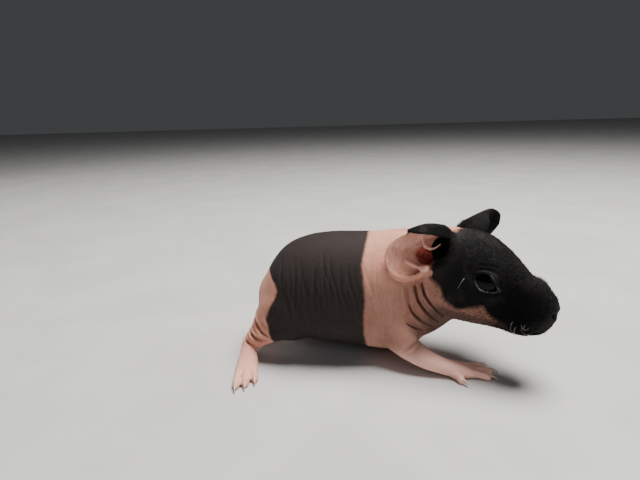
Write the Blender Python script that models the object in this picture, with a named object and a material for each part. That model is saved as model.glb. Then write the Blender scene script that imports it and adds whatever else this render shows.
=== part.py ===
"""Hairless guinea pig pup, life size, stepping forward with its head turned to its right.

Sizes are millimetres in the body's own frame: +X to the head, +Y to its left, +Z up, floor at 0.
They become metres, centred under the animal, when the nodes are made.
"""

import math

import bmesh
import bpy
import numpy as np
from mathutils import Matrix, Vector

MM = 0.001
GAP = 0.3  # between pieces that touch
CENTRE = (15.76, -9.30)  # middle of the animal's footprint, which becomes the origin
VOXEL = 0.75  # grain of the flesh before it is thinned out
EAR_GRAIN = 0.35
EAR_TRIANGLES = {-1: 1350, 1: 900}  # -1 is the animal's right side, 1 its left
FINE, MEDIUM, COARSE = 8400, 6400, 4100  # triangles that the whole skin would have at each density

# Head frame: between the ears at the level of their canals, +X to the nose.
HEAD_AT = (39.0, -2.0, 39.5)
HEAD_TURN = (-4.0, 11.5, -32.0)  # roll, nose down, turn to the right, in degrees

# x, underside, back, half width, height of the widest point, shift to the left
TORSO = (
    (-36.6, 15.6, 31.8, 10.6, 24.0, 0.0),
    (-34.6, 13.2, 35.2, 13.2, 24.0, 0.0),
    (-32.0, 10.4, 39.8, 16.4, 23.5, 0.0),
    (-26.5, 8.4, 45.6, 19.9, 23.0, 0.0),
    (-18.0, 6.8, 49.4, 21.6, 22.5, 0.0),
    (-8.0, 4.8, 51.1, 21.8, 23.0, 0.0),
    (3.0, 3.6, 51.4, 21.2, 24.0, 0.0),
    (13.0, 2.0, 51.7, 19.8, 25.0, 0.0),
    (22.0, 1.6, 52.8, 17.6, 26.0, 0.0),
    (29.0, 4.6, 53.4, 15.0, 27.0, -0.3),
)
NECK = (
    (20.0, 8.0, 52.3, 16.0, 27.0, 0.0),
    (27.0, 6.5, 53.6, 15.4, 28.0, -0.3),
    (34.0, 9.5, 53.8, 14.4, 30.0, -1.2),
    (41.0, 16.0, 53.0, 13.6, 33.0, -3.0),
)
HEAD = (
    (-9.0, -15.0, 11.5, 12.0, -1.0, 0.0),
    (-4.0, -18.0, 14.3, 13.8, -2.5, 0.0),
    (2.5, -19.5, 15.8, 14.8, -4.0, 0.0),
    (8.5, -19.3, 17.0, 14.9, -4.5, 0.0),
    (14.0, -18.4, 16.8, 14.3, -4.5, 0.0),
    (19.0, -17.2, 15.1, 13.2, -4.5, 0.0),
    (25.0, -15.5, 12.2, 11.2, -4.5, 0.0),
    (29.0, -14.7, 9.6, 9.9, -4.5, 0.0),
    (33.0, -14.5, 7.0, 9.1, -4.5, 0.0),
    (37.0, -13.8, 5.6, 8.3, -4.0, 0.0),
    (40.0, -11.8, 4.3, 7.2, -3.5, 0.0),
)

EYE_RADIUS = 5.2
EYE_AT = (19.9, 7.4, 2.9)  # in the head frame, left eye
EYE_LOOK = (0.24, 0.95, 0.16)
EYE_OPEN = (4.75, 2.75)  # half length and half height of the opening
EYE_SET = (0.1, -0.45)  # middle of the opening, along and up from the middle of the ball
EYE_SLANT = -19.0  # degrees, front corner down
LID = 0.8


# ---------------------------------------------------------------- shapes


def carry(rows, steps=6):
    """Rows of sizes carried smoothly from station to station."""
    rows = np.asarray(rows, float)
    along = np.concatenate([[0.0], np.cumsum(np.linalg.norm(np.diff(rows, axis=0), axis=1))])
    slope = np.gradient(rows, along, axis=0)
    made = []
    for i in range(len(rows) - 1):
        reach = along[i + 1] - along[i]
        for s in np.linspace(0, 1, steps, endpoint=False):
            made.append(
                (2 * s**3 - 3 * s**2 + 1) * rows[i]
                + (s**3 - 2 * s**2 + s) * reach * slope[i]
                + (3 * s**2 - 2 * s**3) * rows[i + 1]
                + (s**3 - s**2) * reach * slope[i + 1]
            )
    return np.array(made + [rows[-1]])


def capped(rings, centres, first, last):
    """The rings with a rounded cap of the given length at each end."""
    lead = (centres[0] - centres[1]) / np.linalg.norm(centres[0] - centres[1])
    trail = (centres[-1] - centres[-2]) / np.linalg.norm(centres[-1] - centres[-2])
    angles = np.radians([24, 46, 66, 82])
    head = [
        centres[0] + lead * first * math.sin(a) + (rings[0] - centres[0]) * math.cos(a)
        for a in angles[::-1]
    ]
    tail = [
        centres[-1] + trail * last * math.sin(a) + (rings[-1] - centres[-1]) * math.cos(a)
        for a in angles
    ]
    return head + list(rings) + tail


def mesh_object(name, verts, faces):
    mesh = bpy.data.meshes.new(name)
    mesh.from_pydata([tuple(v) for v in verts], [], [tuple(f) for f in faces])
    mesh.validate()
    bm = bmesh.new()
    bm.from_mesh(mesh)
    bmesh.ops.recalc_face_normals(bm, faces=bm.faces)
    bm.to_mesh(mesh)
    bm.free()
    obj = bpy.data.objects.new(name, mesh)
    bpy.context.scene.collection.objects.link(obj)
    return obj


def loft(name, rings):
    """A closed skin over rings of equal count."""
    count = len(rings[0])
    faces = []
    for i in range(len(rings) - 1):
        for j in range(count):
            k = (j + 1) % count
            faces.append((i * count + j, i * count + k, (i + 1) * count + k, (i + 1) * count + j))
    faces.append(tuple(range(count)))
    faces.append(tuple((len(rings) - 1) * count + j for j in range(count)))
    return mesh_object(name, np.concatenate(rings), faces)


def barrel(name, stations, first, last, sides=44, round_by=0.92):
    """Upright sections along X, each a rounded oval between its underside and its back."""
    angles = np.linspace(0, 2 * math.pi, sides, endpoint=False)
    c, s = np.cos(angles), np.sin(angles)
    rings, centres = [], []
    for x, low, high, wide, middle, left in carry(stations):
        y = left + wide * np.sign(c) * np.abs(c) ** round_by
        tall = np.where(s > 0, high - middle, middle - low)
        z = middle + tall * np.sign(s) * np.abs(s) ** round_by
        rings.append(np.stack([np.full(sides, x), y, z], 1))
        centres.append(np.array([x, left, (low + high) / 2]))
    return loft(name, capped(rings, centres, first, last))


def limb(name, stations, across=(0, 1, 0), sides=18, steps=5, blunt=True):
    """A round tube: each station is x, y, z, radius across, radius the other way."""
    rows = carry(stations, steps)
    points = rows[:, :3]
    ahead = np.gradient(points, axis=0)
    ahead /= np.linalg.norm(ahead, axis=1)[:, None]
    side = np.array(across, float) - ahead * (ahead @ np.array(across, float))[:, None]
    side /= np.linalg.norm(side, axis=1)[:, None]
    up = np.cross(ahead, side)
    angles = np.linspace(0, 2 * math.pi, sides, endpoint=False)
    rings = [
        p + np.outer(np.cos(angles) * r[3], a) + np.outer(np.sin(angles) * r[4], b)
        for p, r, a, b in zip(points, rows, side, up)
    ]
    if blunt:
        rings = capped(rings, points, min(rows[0][3:]), min(rows[-1][3:]))
    return loft(name, rings)


def ball(name, at, radii, turn=(0, 0, 0), fine=3):
    bm = bmesh.new()
    bmesh.ops.create_icosphere(bm, subdivisions=fine, radius=1)
    place = Matrix.Translation(at) @ turned(turn) @ Matrix.Diagonal((*radii, 1))
    bm.transform(place)
    mesh = bpy.data.meshes.new(name)
    bm.to_mesh(mesh)
    bm.free()
    obj = bpy.data.objects.new(name, mesh)
    bpy.context.scene.collection.objects.link(obj)
    return obj


def turned(degrees):
    x, y, z = (math.radians(a) for a in degrees)
    return Matrix.Rotation(z, 4, "Z") @ Matrix.Rotation(y, 4, "Y") @ Matrix.Rotation(x, 4, "X")


HEAD_FRAME = Matrix.Translation(HEAD_AT) @ turned(HEAD_TURN)
TO_BODY = np.array(HEAD_FRAME)
TO_HEAD = np.linalg.inv(TO_BODY)


def in_head(points):
    return points @ TO_HEAD[:3, :3].T + TO_HEAD[:3, 3]


def in_body(points):
    return points @ TO_BODY[:3, :3].T + TO_BODY[:3, 3]


# ---------------------------------------------------------------- joining and cutting


def settle(obj):
    """Applies the object's modifiers and its place."""
    graph = bpy.context.evaluated_depsgraph_get()
    mesh = bpy.data.meshes.new_from_object(obj.evaluated_get(graph))
    mesh.transform(obj.matrix_world)
    obj.modifiers.clear()
    obj.data = mesh
    obj.matrix_world = Matrix()
    return obj


def join(name, pieces):
    bm = bmesh.new()
    for piece in pieces:
        bm.from_mesh(piece.data)
        bpy.data.objects.remove(piece)
    mesh = bpy.data.meshes.new(name)
    bm.to_mesh(mesh)
    bm.free()
    obj = bpy.data.objects.new(name, mesh)
    bpy.context.scene.collection.objects.link(obj)
    return obj


def remesh(obj, grain):
    step = obj.modifiers.new("grain", "REMESH")
    step.mode = "VOXEL"
    step.voxel_size = grain
    step.use_smooth_shade = True
    return settle(obj)


def thin_out(obj, name, triangles):
    """A copy of the object with about this many triangles."""
    mesh = obj.data.copy()
    bm = bmesh.new()
    bm.from_mesh(mesh)
    bmesh.ops.triangulate(bm, faces=bm.faces)
    bm.to_mesh(mesh)
    bm.free()
    copy = bpy.data.objects.new(name, mesh)
    bpy.context.scene.collection.objects.link(copy)
    step = copy.modifiers.new("thin", "DECIMATE")
    step.ratio = triangles / len(mesh.polygons)
    settle(copy)
    points = coords(copy)
    points[points[:, 2] < 0.1, 2] = 0  # the soles stay flat
    put(copy, points)
    return copy


def boolean(obj, other, operation):
    step = obj.modifiers.new(operation.lower(), "BOOLEAN")
    step.operation = operation
    step.solver = "MANIFOLD"
    step.object = other
    return settle(obj)


def unite(obj, pieces):
    """One union of the object with closed pieces, which are then removed."""
    group = bpy.data.collections.new("pieces")
    for piece in pieces:
        group.objects.link(piece)
    step = obj.modifiers.new("union", "BOOLEAN")
    step.operation = "UNION"
    step.solver = "MANIFOLD"
    step.operand_type = "COLLECTION"
    step.collection = group
    bpy.context.scene.collection.children.link(group)
    settle(obj)
    for piece in pieces:
        bpy.data.objects.remove(piece)
    bpy.data.collections.remove(group)
    return obj


def largest(obj):
    """Keeps only the largest closed surface."""
    bm = bmesh.new()
    bm.from_mesh(obj.data)
    bm.verts.ensure_lookup_table()
    left, islands = set(bm.verts), []
    while left:
        seed = left.pop()
        island, front = {seed}, [seed]
        while front:
            vert = front.pop()
            for edge in vert.link_edges:
                other = edge.other_vert(vert)
                if other not in island:
                    island.add(other)
                    front.append(other)
        left -= island
        islands.append(island)
    islands.sort(key=len)
    for island in islands[:-1]:
        bmesh.ops.delete(bm, geom=list(island), context="VERTS")
    bm.to_mesh(obj.data)
    bm.free()
    return obj


def clone(obj, name):
    copy = bpy.data.objects.new(name, obj.data.copy())
    bpy.context.scene.collection.objects.link(copy)
    return copy


# ---------------------------------------------------------------- working the flesh


def coords(obj):
    found = np.empty(len(obj.data.vertices) * 3)
    obj.data.vertices.foreach_get("co", found)
    return found.reshape(-1, 3)


def normals(obj):
    found = np.empty(len(obj.data.vertices) * 3)
    obj.data.vertices.foreach_get("normal", found)
    return found.reshape(-1, 3)


def put(obj, points):
    obj.data.vertices.foreach_set("co", np.ascontiguousarray(points).reshape(-1))
    obj.data.update()


def relax(obj, amount, rounds):
    """Evens out the surface; amount is one weight per vertex."""
    ends = np.empty(len(obj.data.edges) * 2, np.int64)
    obj.data.edges.foreach_get("vertices", ends)
    ends = ends.reshape(-1, 2)
    points = coords(obj)
    size = len(points)
    degree = np.bincount(ends.reshape(-1), minlength=size)[:, None]
    for _ in range(rounds):
        total = np.stack(
            [
                np.bincount(ends[:, 0], points[ends[:, 1], k], size)
                + np.bincount(ends[:, 1], points[ends[:, 0], k], size)
                for k in range(3)
            ],
            1,
        )
        points = points + (total / degree - points) * amount[:, None]
    put(obj, points)


def near(points, at, reach):
    """1 at the place, falling to 0.01 at the reach."""
    return np.exp(-4.6 * ((points - np.array(at)) ** 2).sum(1) / reach**2)


def path_gap(points, path):
    """Distance from each point to a smooth path, and how far along it the nearest place is."""
    line = carry(path, 8)
    best = np.full(len(points), 1e9)
    where = np.zeros(len(points))
    for i in range(len(line) - 1):
        a, d = line[i], line[i + 1] - line[i]
        t = np.clip((points - a) @ d / (d @ d), 0, 1)
        gap = np.linalg.norm(points - a - t[:, None] * d, axis=1)
        closer = gap < best
        best[closer] = gap[closer]
        where[closer] = (i + t[closer]) / (len(line) - 1)
    return best, where


def step_up(x):
    x = np.clip(x, 0, 1)
    return x * x * (3 - 2 * x)


def groove(points, normal, path, wide, deep):
    """Presses a line into the skin, shallow at both ends."""
    gap, where = path_gap(points, path)
    fade = np.sin(np.pi * np.clip(where, 0.03, 0.97)) ** 0.5
    return points - normal * (deep * fade * np.exp(-((gap / wide) ** 2)))[:, None]


def swell(points, normal, at, reach, amount):
    return points + normal * (amount * near(points, at, reach))[:, None]


def eye_frame(side):
    """Columns: along the opening, up it, out of the head; for one eye, in the head frame."""
    out = np.array(EYE_LOOK) * (1, side, 1)
    out /= np.linalg.norm(out)
    slant = math.radians(EYE_SLANT)
    along = np.array([math.cos(slant), 0, math.sin(slant)])
    along -= out * (along @ out)
    along /= np.linalg.norm(along)
    up = np.cross(out, along) * (1 if side < 0 else -1)
    return np.stack([along, up, out], 1)


def open_eye(points, side):
    """Wraps the skin round the eyeball as lids, and sinks it behind the opening."""
    centre = np.array(EYE_AT) * (1, side, 1)
    local = (points - centre) @ eye_frame(side)
    reach = np.linalg.norm(local, axis=1)
    along = (local[:, 0] - EYE_SET[0]) / EYE_OPEN[0]
    up = (local[:, 1] - EYE_SET[1]) / EYE_OPEN[1]
    # an almond with its sharp corner in front
    front = np.where(up > 0, 0.42, 0.3)
    narrow = 1 - front * step_up(along) - 0.2 * step_up(-along)
    away = np.hypot(along, up / narrow)
    # out to 1.85 openings the skin follows the ball, then runs into the cheek and brow
    hold = 1 - step_up((away - 1.25) / 0.6)
    behind = EYE_RADIUS - 1.2
    wanted = behind + (EYE_RADIUS + LID - behind) * step_up((away - 0.92) / 0.18)
    fresh = reach + (wanted - reach) * hold
    ratio = np.where((local[:, 2] > 0) & (reach > 1), fresh / np.maximum(reach, 1), 1)
    return centre + (local * ratio[:, None]) @ eye_frame(side).T


def shape_head(points, normal):
    """Works cheeks, brow, nose, mouth and eyes into the head, in the head frame."""
    for side in (-1, 1):
        points = swell(points, normal, (8, 14 * side, -7), 13, 1.0)
        points = swell(points, normal, (38, 7.5 * side, -6), 6.5, 0.9)
        points = swell(points, normal, (21, 10.5 * side, 9.5), 7, 0.7)
        points = swell(points, normal, (29.5, 9.5 * side, 2), 7, -0.6)
        mouth = ((42.6, 0.3, -8.0), (41.3, 3.4, -9.2), (38.4, 6.2, -10.6), (35.0, 7.9, -11.6))
        points = groove(points, normal, np.array(mouth) * (1, side, 1), 1.1, 1.3)
        nostril = ((44.2, 1.5 * side, -2.6), (43.6, 2.7 * side, -1.6), (42.6, 3.7 * side, -1.9))
        points = groove(points, normal, nostril, 0.8, 1.3)
        points = swell(points, normal, (44, 2.4 * side, -0.3), 2.6, 0.45)
        points = open_eye(points, side)
    philtrum = ((44.3, 0, -3.6), (43.6, 0, -5.8), (42.6, 0, -7.8))
    return groove(points, normal, philtrum, 0.8, 0.8)


# ---------------------------------------------------------------- limbs


def placed(rows, at, heading):
    """Foot stations given from the wrist or heel, turned to the heading and set in place."""
    c, s = math.cos(math.radians(heading)), math.sin(math.radians(heading))
    return [(at[0] + x * c - y * s, at[1] + x * s + y * c, z, *more) for x, y, z, *more in rows]


def foot(name, at, heading, sole, toes):
    """Flesh and claws of a foot: sole stations, then toes of root x, root y, angle, length, radius."""
    heading_rad = math.radians(heading)
    across = (-math.sin(heading_rad), math.cos(heading_rad), 0)
    flesh = [limb(name + "_sole", placed(sole, at, heading), across)]
    claws = []
    for i, (x, y, angle, length, r) in enumerate(toes):
        c, s = math.cos(math.radians(angle)), math.sin(math.radians(angle))

        def out(d, z, *more):
            return (x + d * c, y + d * s, z, *more)

        rows = [
            out(-3.0, r + 0.4, r * 0.9, r * 0.9),
            out(length * 0.25, r + 0.75, r * 0.92, r * 0.9),
            out(length * 0.45, r + 0.7, r * 0.85, r * 0.86),
            out(length * 0.72, r + 0.1, r, r),
            out(length - r * 0.8, r - 0.25, r * 0.85, r * 0.8),
        ]
        turn = heading_rad + math.radians(angle)
        toward = (-math.sin(turn), math.cos(turn), 0)
        flesh.append(limb(f"{name}_toe{i}", placed(rows, at, heading), toward, 12, 4))
        nail = [
            out(length - 2.2, r + 0.35, 0.5, 0.5),
            out(length - 0.4, r + 0.35, 0.5, 0.55),
            out(length + 1.0, r - 0.15, 0.34, 0.4),
            out(length + 2.0, max(r - 0.95, 0.35), 0.16, 0.2),
        ]
        claws.append(limb(f"{name}_claw{i}", placed(nail, at, heading), toward, 6, 1, False))
    return flesh, claws


# soles as stations from the wrist or heel; toes as root x, root y, angle, length, radius
FORE_SOLE = (
    (0.0, 0, 3.7, 3.6, 2.8),
    (4.0, 0, 2.9, 4.3, 2.5),
    (8.0, 0, 2.2, 4.5, 2.1),
    (11.5, 0, 1.6, 3.8, 1.5),
)
FORE_TOES = (
    (3.0, 3.1, 60, 5.2, 1.5),
    (9.5, 2.7, 16, 7.4, 1.45),
    (10.5, 0.1, 1, 8.2, 1.5),
    (9.5, -2.6, -16, 7.0, 1.4),
)
FORE_TOES_CLOSE = ((5.6, 2.6, 34, 5.2, 1.4), *FORE_TOES[1:])
HIND_SOLE = (
    (0.0, 0, 3.9, 3.5, 3.8),
    (6.0, 0, 3.3, 3.7, 3.1),
    (12.0, 0, 2.7, 4.3, 2.5),
    (17.5, 0, 2.0, 4.6, 1.9),
)
HIND_TOES = (
    (17.0, 2.9, 3, 10.2, 1.6),
    (16.8, -0.1, 0, 9.4, 1.65),
    (15.2, -2.9, -5, 8.2, 1.6),
)

# wrist or heel, heading, how far ahead of it the foot parts from the leg, sole, toes
FEET = {
    "forefoot_right": ((38.5, -20.4), 10.0, 0.8, FORE_SOLE, FORE_TOES),
    "forefoot_left": ((13.0, 16.4), 4.0, 2.4, FORE_SOLE, FORE_TOES_CLOSE),
    "hindfoot_right": ((-41.9, -13.2), -77.0, 4.5, HIND_SOLE, HIND_TOES),
    "hindfoot_left": ((-34.0, 13.5), 8.0, 8.0, HIND_SOLE, HIND_TOES),
}
ARM_RIGHT = (
    (18.0, -10.0, 24.0, 7.0, 10.0),
    (19.0, -14.0, 15.0, 5.8, 7.5),
    (23.8, -17.0, 10.2, 5.0, 5.4),
    (30.6, -19.4, 6.3, 4.2, 3.9),
    (38.2, -20.4, 3.9, 3.6, 2.9),
)
ARM_LEFT = (
    (15.0, 10.0, 24.0, 7.0, 10.0),
    (8.5, 15.0, 14.0, 5.5, 7.0),
    (6.5, 16.6, 8.6, 4.2, 4.4),
    (9.5, 16.6, 5.8, 3.4, 3.4),
    (13.0, 16.4, 3.9, 3.1, 2.8),
)
THIGH = (-23.5, 11.5, 20.5), (13.0, 10.5, 13.0)
HAM_RIGHT = (
    (-28.0, -8.0, 27.0, 8.0, 8.0),
    (-32.6, -10.5, 18.0, 6.6, 6.2),
    (-36.4, -12.8, 11.4, 4.7, 4.3),
    (-41.4, -13.4, 5.2, 3.6, 3.7),
)
SHIN_RIGHT = (
    (-21.0, -17.5, 16.0, 4.6, 5.0),
    (-29.5, -17.0, 13.0, 4.4, 4.0),
    (-38.6, -14.2, 7.6, 4.0, 3.9),
)
HAM_LEFT = (
    (-29.0, 8.0, 27.0, 8.5, 8.5),
    (-31.5, 10.5, 18.0, 6.5, 6.0),
    (-33.0, 12.5, 10.5, 4.8, 4.2),
    (-34.0, 13.5, 4.8, 3.6, 3.5),
)
SHIN_LEFT = (
    (-19.0, 16.5, 14.5, 4.6, 4.8),
    (-26.0, 15.5, 11.5, 4.2, 3.6),
    (-33.0, 13.8, 6.5, 3.5, 3.4),
)
# the space that each upper leg fills: a ball sunk in the torso, and straight tubes clear of the skin
LEG_SPACE = {
    "foreleg_right": (
        ((18.5, -16.5, 14.5), (8.5, 7.5, 10.0)),
        (((20.0, -18.0, 10.0, 7.5, 7.5), (43.0, -20.8, 3.8, 6.0, 6.0)),),
    ),
    "foreleg_left": (
        ((9.5, 15.8, 14.5), (8.5, 7.5, 10.0)),
        (((8.0, 17.5, 9.0, 7.0, 7.5), (18.0, 17.5, 3.8, 6.0, 6.0)),),
    ),
    "hindleg_right": (
        ((-24.5, -16.0, 20.5), (14.5, 9.5, 14.5)),
        (
            ((-31.5, -12.5, 16.5, 8.5, 8.5), (-42.0, -14.0, 3.0, 8.0, 8.0)),
            ((-19.0, -20.0, 14.5, 6.5, 6.5), (-40.0, -16.0, 7.0, 6.5, 6.5)),
        ),
    ),
    "hindleg_left": (
        ((-24.5, 16.0, 20.5), (14.5, 9.5, 14.5)),
        (
            ((-31.0, 12.5, 16.5, 8.5, 8.0), (-34.5, 13.5, 3.0, 7.5, 7.5)),
            ((-18.0, 20.0, 14.5, 6.5, 6.5), (-30.0, 17.0, 6.0, 6.5, 6.5)),
        ),
    ),
}


# ---------------------------------------------------------------- ears


# Each ear runs from a root in the head to its rim, both from the lobe in front, round behind
# the canal, to the top in front; left-handed head frame for the right ear.
EAR_ROOT = {
    -1: (
        (0.8, 13.6, -1.0),
        (-0.8, 13.4, -2.6),
        (-2.8, 13.4, -2.8),
        (-4.8, 13.0, -1.2),
        (-5.9, 12.4, 2.2),
        (-5.8, 11.2, 6.2),
        (-4.2, 9.2, 9.6),
        (-1.0, 7.4, 12.2),
        (2.8, 6.6, 13.4),
    ),
    1: (
        (3.4, 13.8, -0.6),
        (1.2, 13.6, -2.2),
        (-1.6, 13.6, -2.6),
        (-4.2, 13.2, -0.6),
        (-5.4, 12.2, 3.0),
        (-5.0, 11.0, 6.4),
        (-3.4, 10.2, 8.4),
        (-0.6, 9.4, 10.2),
        (3.0, 9.6, 10.8),
        (6.4, 10.8, 9.6),
    ),
}
EAR_RIM = {
    -1: (
        (-0.4, 16.2, 0.4),
        (-2.2, 18.6, -2.2),
        (-5.4, 21.6, -4.2),
        (-9.6, 24.2, -3.4),
        (-12.9, 25.6, 0.9),
        (-13.6, 24.0, 6.6),
        (-10.6, 19.3, 11.2),
        (-5.4, 15.5, 15.2),
        (1.2, 9.6, 15.6),
    ),
    1: (
        (5.0, 15.8, -0.4),
        (4.4, 18.8, -0.4),
        (4.8, 21.2, 4.6),
        (7.0, 22.2, 11.6),
        (9.2, 21.8, 17.8),
        (8.6, 20.6, 21.6),
        (4.8, 19.0, 22.7),
        (5.8, 16.8, 20.2),
        (7.8, 14.8, 16.8),
        (7.4, 12.4, 12.8),
    ),
}
EAR_FACES = {-1: (0.6, 0.76, 0.27), 1: (0.75, 0.5, -0.43)}  # where the cup opens to
EAR_DEEP = {-1: 2.0, 1: 2.4}
EAR_THICK = 0.95
# the right ear's top is folded down over the cup: where it leaves the cup, its crest, its free edge
EAR_FLAP = (
    (
        (-10.2, 17.8, 12.2),
        (-7.8, 16.4, 13.4),
        (-4.9, 15.0, 14.4),
        (-2.2, 12.8, 15.0),
        (0.2, 10.2, 15.0),
        (2.3, 8.0, 14.0),
    ),
    (
        (-10.4, 18.6, 13.0),
        (-7.3, 17.8, 15.5),
        (-4.3, 16.8, 17.4),
        (-1.5, 14.8, 18.1),
        (0.8, 11.8, 17.7),
        (2.5, 8.8, 16.0),
    ),
    (
        (-10.0, 19.4, 12.8),
        (-6.5, 20.3, 13.6),
        (-3.6, 20.2, 14.3),
        (-1.2, 18.6, 14.6),
        (1.4, 15.6, 14.4),
        (3.6, 11.6, 13.6),
    ),
)
# the hollow in front of the cup that leads into the head: place, radii
EAR_PIT = (1.0, 10.4, 8.8), (3.3, 4.6, 5.2)
EAR_BOWL = (-2.8, 13.2, 4.8), (3.2, 2.6, 3.8)
# rounded ridges of cartilage in the cup, as stations with a radius
EAR_RIDGES = {
    -1: (
        (
            (-6.6, 12.9, 11.2, 0.6),
            (-6.1, 12.7, 9.8, 0.6),
            (-5.2, 12.5, 8.5, 0.6),
            (-3.8, 12.3, 7.6, 0.6),
            (-2.0, 11.9, 7.4, 0.6),
            (-0.6, 11.3, 8.6, 0.55),
            (0.5, 10.8, 10.3, 0.45),
        ),
        (
            (-7.8, 18.5, 1.5, 0.45),
            (-6.1, 17.8, 1.2, 0.6),
            (-3.5, 17.3, 0.7, 0.8),
            (-1.2, 17.2, 0.9, 1.1),
            (0.2, 17.0, 1.4, 1.3),
        ),
    ),
    1: (
        (
            (0.4, 14.1, -0.4, 0.5),
            (-0.1, 15.0, 1.0, 0.65),
            (0.2, 16.0, 5.3, 0.7),
            (0.5, 15.8, 9.4, 0.65),
            (-0.1, 14.6, 12.1, 0.5),
        ),
        (
            (-3.4, 11.8, 9.5, 0.5),
            (-2.2, 12.0, 12.9, 0.6),
            (-1.1, 12.8, 15.1, 0.65),
            (0.4, 14.3, 17.3, 0.6),
            (2.4, 16.2, 19.6, 0.45),
        ),
    ),
}


def facing(grid, way):
    """Normals over a grid of points, on the side that looks the given way."""
    normal = np.cross(np.gradient(grid, axis=0), np.gradient(grid, axis=1))
    normal /= np.maximum(np.linalg.norm(normal, axis=2), 1e-9)[:, :, None]
    return -normal if (normal[len(grid) // 2] @ way).mean() < 0 else normal


def ear_sheets(side, across=12, around=5):
    """The cup of one ear, and the right one's flap, as grids of points with their normals.

    Rows run from root to rim, columns from the lobe round to the front, in the head frame.
    """
    mirror = np.array((1, side, 1), float)
    root, rim = carry(EAR_ROOT[side], around), carry(EAR_RIM[side], around)
    faces = np.array(EAR_FACES[side]) / np.linalg.norm(EAR_FACES[side])
    rows = []
    for u in np.linspace(0, 1, across + 1):
        sag = EAR_DEEP[side] * math.sin(math.pi * u**0.8)
        rows.append(root + (rim - root) * u - faces * sag)
    grid = np.array(rows) * mirror
    sheets = [(grid, facing(grid, faces * mirror))]
    if side < 0:
        lines = np.array([carry(line, around) for line in EAR_FLAP])
        grid = np.stack([carry(lines[:, j], 5) for j in range(lines.shape[1])], 1) * mirror
        sheets.append((grid, facing(grid, np.array((0.4, 0.7, -0.6)))))
    return sheets


def ear_solid(name, grid, normal):
    """The sheet given its thickness, thinner to the rim."""
    half = (EAR_THICK / 2 * np.linspace(1.25, 0.85, len(grid)))[:, None, None]
    front, back = grid + normal * half, grid - normal * half
    verts = np.concatenate([front.reshape(-1, 3), back.reshape(-1, 3)])
    tall, row = grid.shape[:2]
    size = tall * row
    leaf = []
    for i in range(tall - 1):
        for j in range(row - 1):
            a, b, c, d = i * row + j, i * row + j + 1, (i + 1) * row + j + 1, (i + 1) * row + j
            leaf.append((a, b, c, d))
            leaf.append((size + d, size + c, size + b, size + a))
    edge = list(range(row - 1)) + [i * row + row - 1 for i in range(tall - 1)]
    edge += [(tall - 1) * row + j for j in range(row - 1, 0, -1)]
    edge += [i * row for i in range(tall - 1, 0, -1)]
    for a, b in zip(edge, edge[1:] + edge[:1]):
        leaf.append((b, a, size + a, size + b))
    return mesh_object(name, in_body(verts), leaf)


def ear_ridges(side):
    made = []
    for ridge in EAR_RIDGES[side]:
        rows = np.array(ridge) * (1, side, 1, 1)
        stations = np.column_stack([in_body(rows[:, :3]), rows[:, 3], rows[:, 3]])
        made.append(limb("ridge", stations, across=(0.3, 0.2, 0.93), sides=12))
    return made


def ear(name, side):
    """The cup, its flap and its ridges as one closed leaf."""
    pieces = [ear_solid("leaf", grid, normal) for grid, normal in ear_sheets(side)]
    pieces += ear_ridges(side)
    leaf = remesh(join(name + "_leaf", pieces), EAR_GRAIN)
    relax(leaf, np.full(len(leaf.data.vertices), 0.3), 3)
    made = thin_out(leaf, name, EAR_TRIANGLES[side])
    bpy.data.objects.remove(leaf)
    return made


def hollow_ball(side, at, radii):
    """A hollow of one ear, as a closed ball in the head."""
    made = ball("hollow", (0, 0, 0), radii, fine=3)
    turn = turned((-20 * side, 0, -24 * side))
    made.data.transform(HEAD_FRAME @ Matrix.Translation((at[0], at[1] * side, at[2])) @ turn)
    return made


# ---------------------------------------------------------------- the animal


def flesh_of_body():
    """Torso, neck, head and legs as one smooth skin, without ears or claws; and the claws."""
    pieces = [barrel("torso_form", TORSO, 2.6, 3.0), barrel("neck_form", NECK, 4.0, 4.0)]
    head = barrel("head_form", HEAD, 5.0, 4.4, 40)
    head.data.transform(HEAD_FRAME)
    pieces.append(head)
    for side in (-1, 1):
        at, radii = THIGH
        pieces.append(ball("thigh_form", (at[0], at[1] * side, at[2]), radii))
    for rows in (ARM_RIGHT, ARM_LEFT, HAM_RIGHT, HAM_LEFT, SHIN_RIGHT, SHIN_LEFT):
        pieces.append(limb("limb_form", rows))
    claws = {}
    for name, (at, heading, _, sole, toes) in FEET.items():
        side = -1 if name.endswith("right") else 1
        toes = [(x, y * side, angle * side, length, r) for x, y, angle, length, r in toes]
        made, claws[name] = foot(name, at, heading, sole, toes)
        pieces += made
    body = remesh(join("flesh", pieces), VOXEL)

    points = coords(body)
    feet = 1 - step_up((points[:, 2] - 4.0) / 5.0)
    relax(body, 0.5 * (1 - 0.92 * feet), 10)

    points, normal = coords(body), normals(body)
    local = in_head(points)
    shaped = in_body(shape_head(local, normal @ TO_HEAD[:3, :3].T))
    here = (local[:, 0] > -6) & (points[:, 2] > 14)
    points = np.where(here[:, None], shaped, points)
    # the soles are pressed flat on the floor
    height = points[:, 2]
    points[:, 2] = np.maximum(height - 0.5 * (1 - step_up((height - 0.5) / 4)), 0)
    put(body, points)

    for side in (-1, 1):
        for at, radii in (EAR_BOWL, EAR_PIT):
            hollow = hollow_ball(side, at, radii)
            boolean(body, hollow, "DIFFERENCE")
            bpy.data.objects.remove(hollow)
    return body, claws


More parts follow.
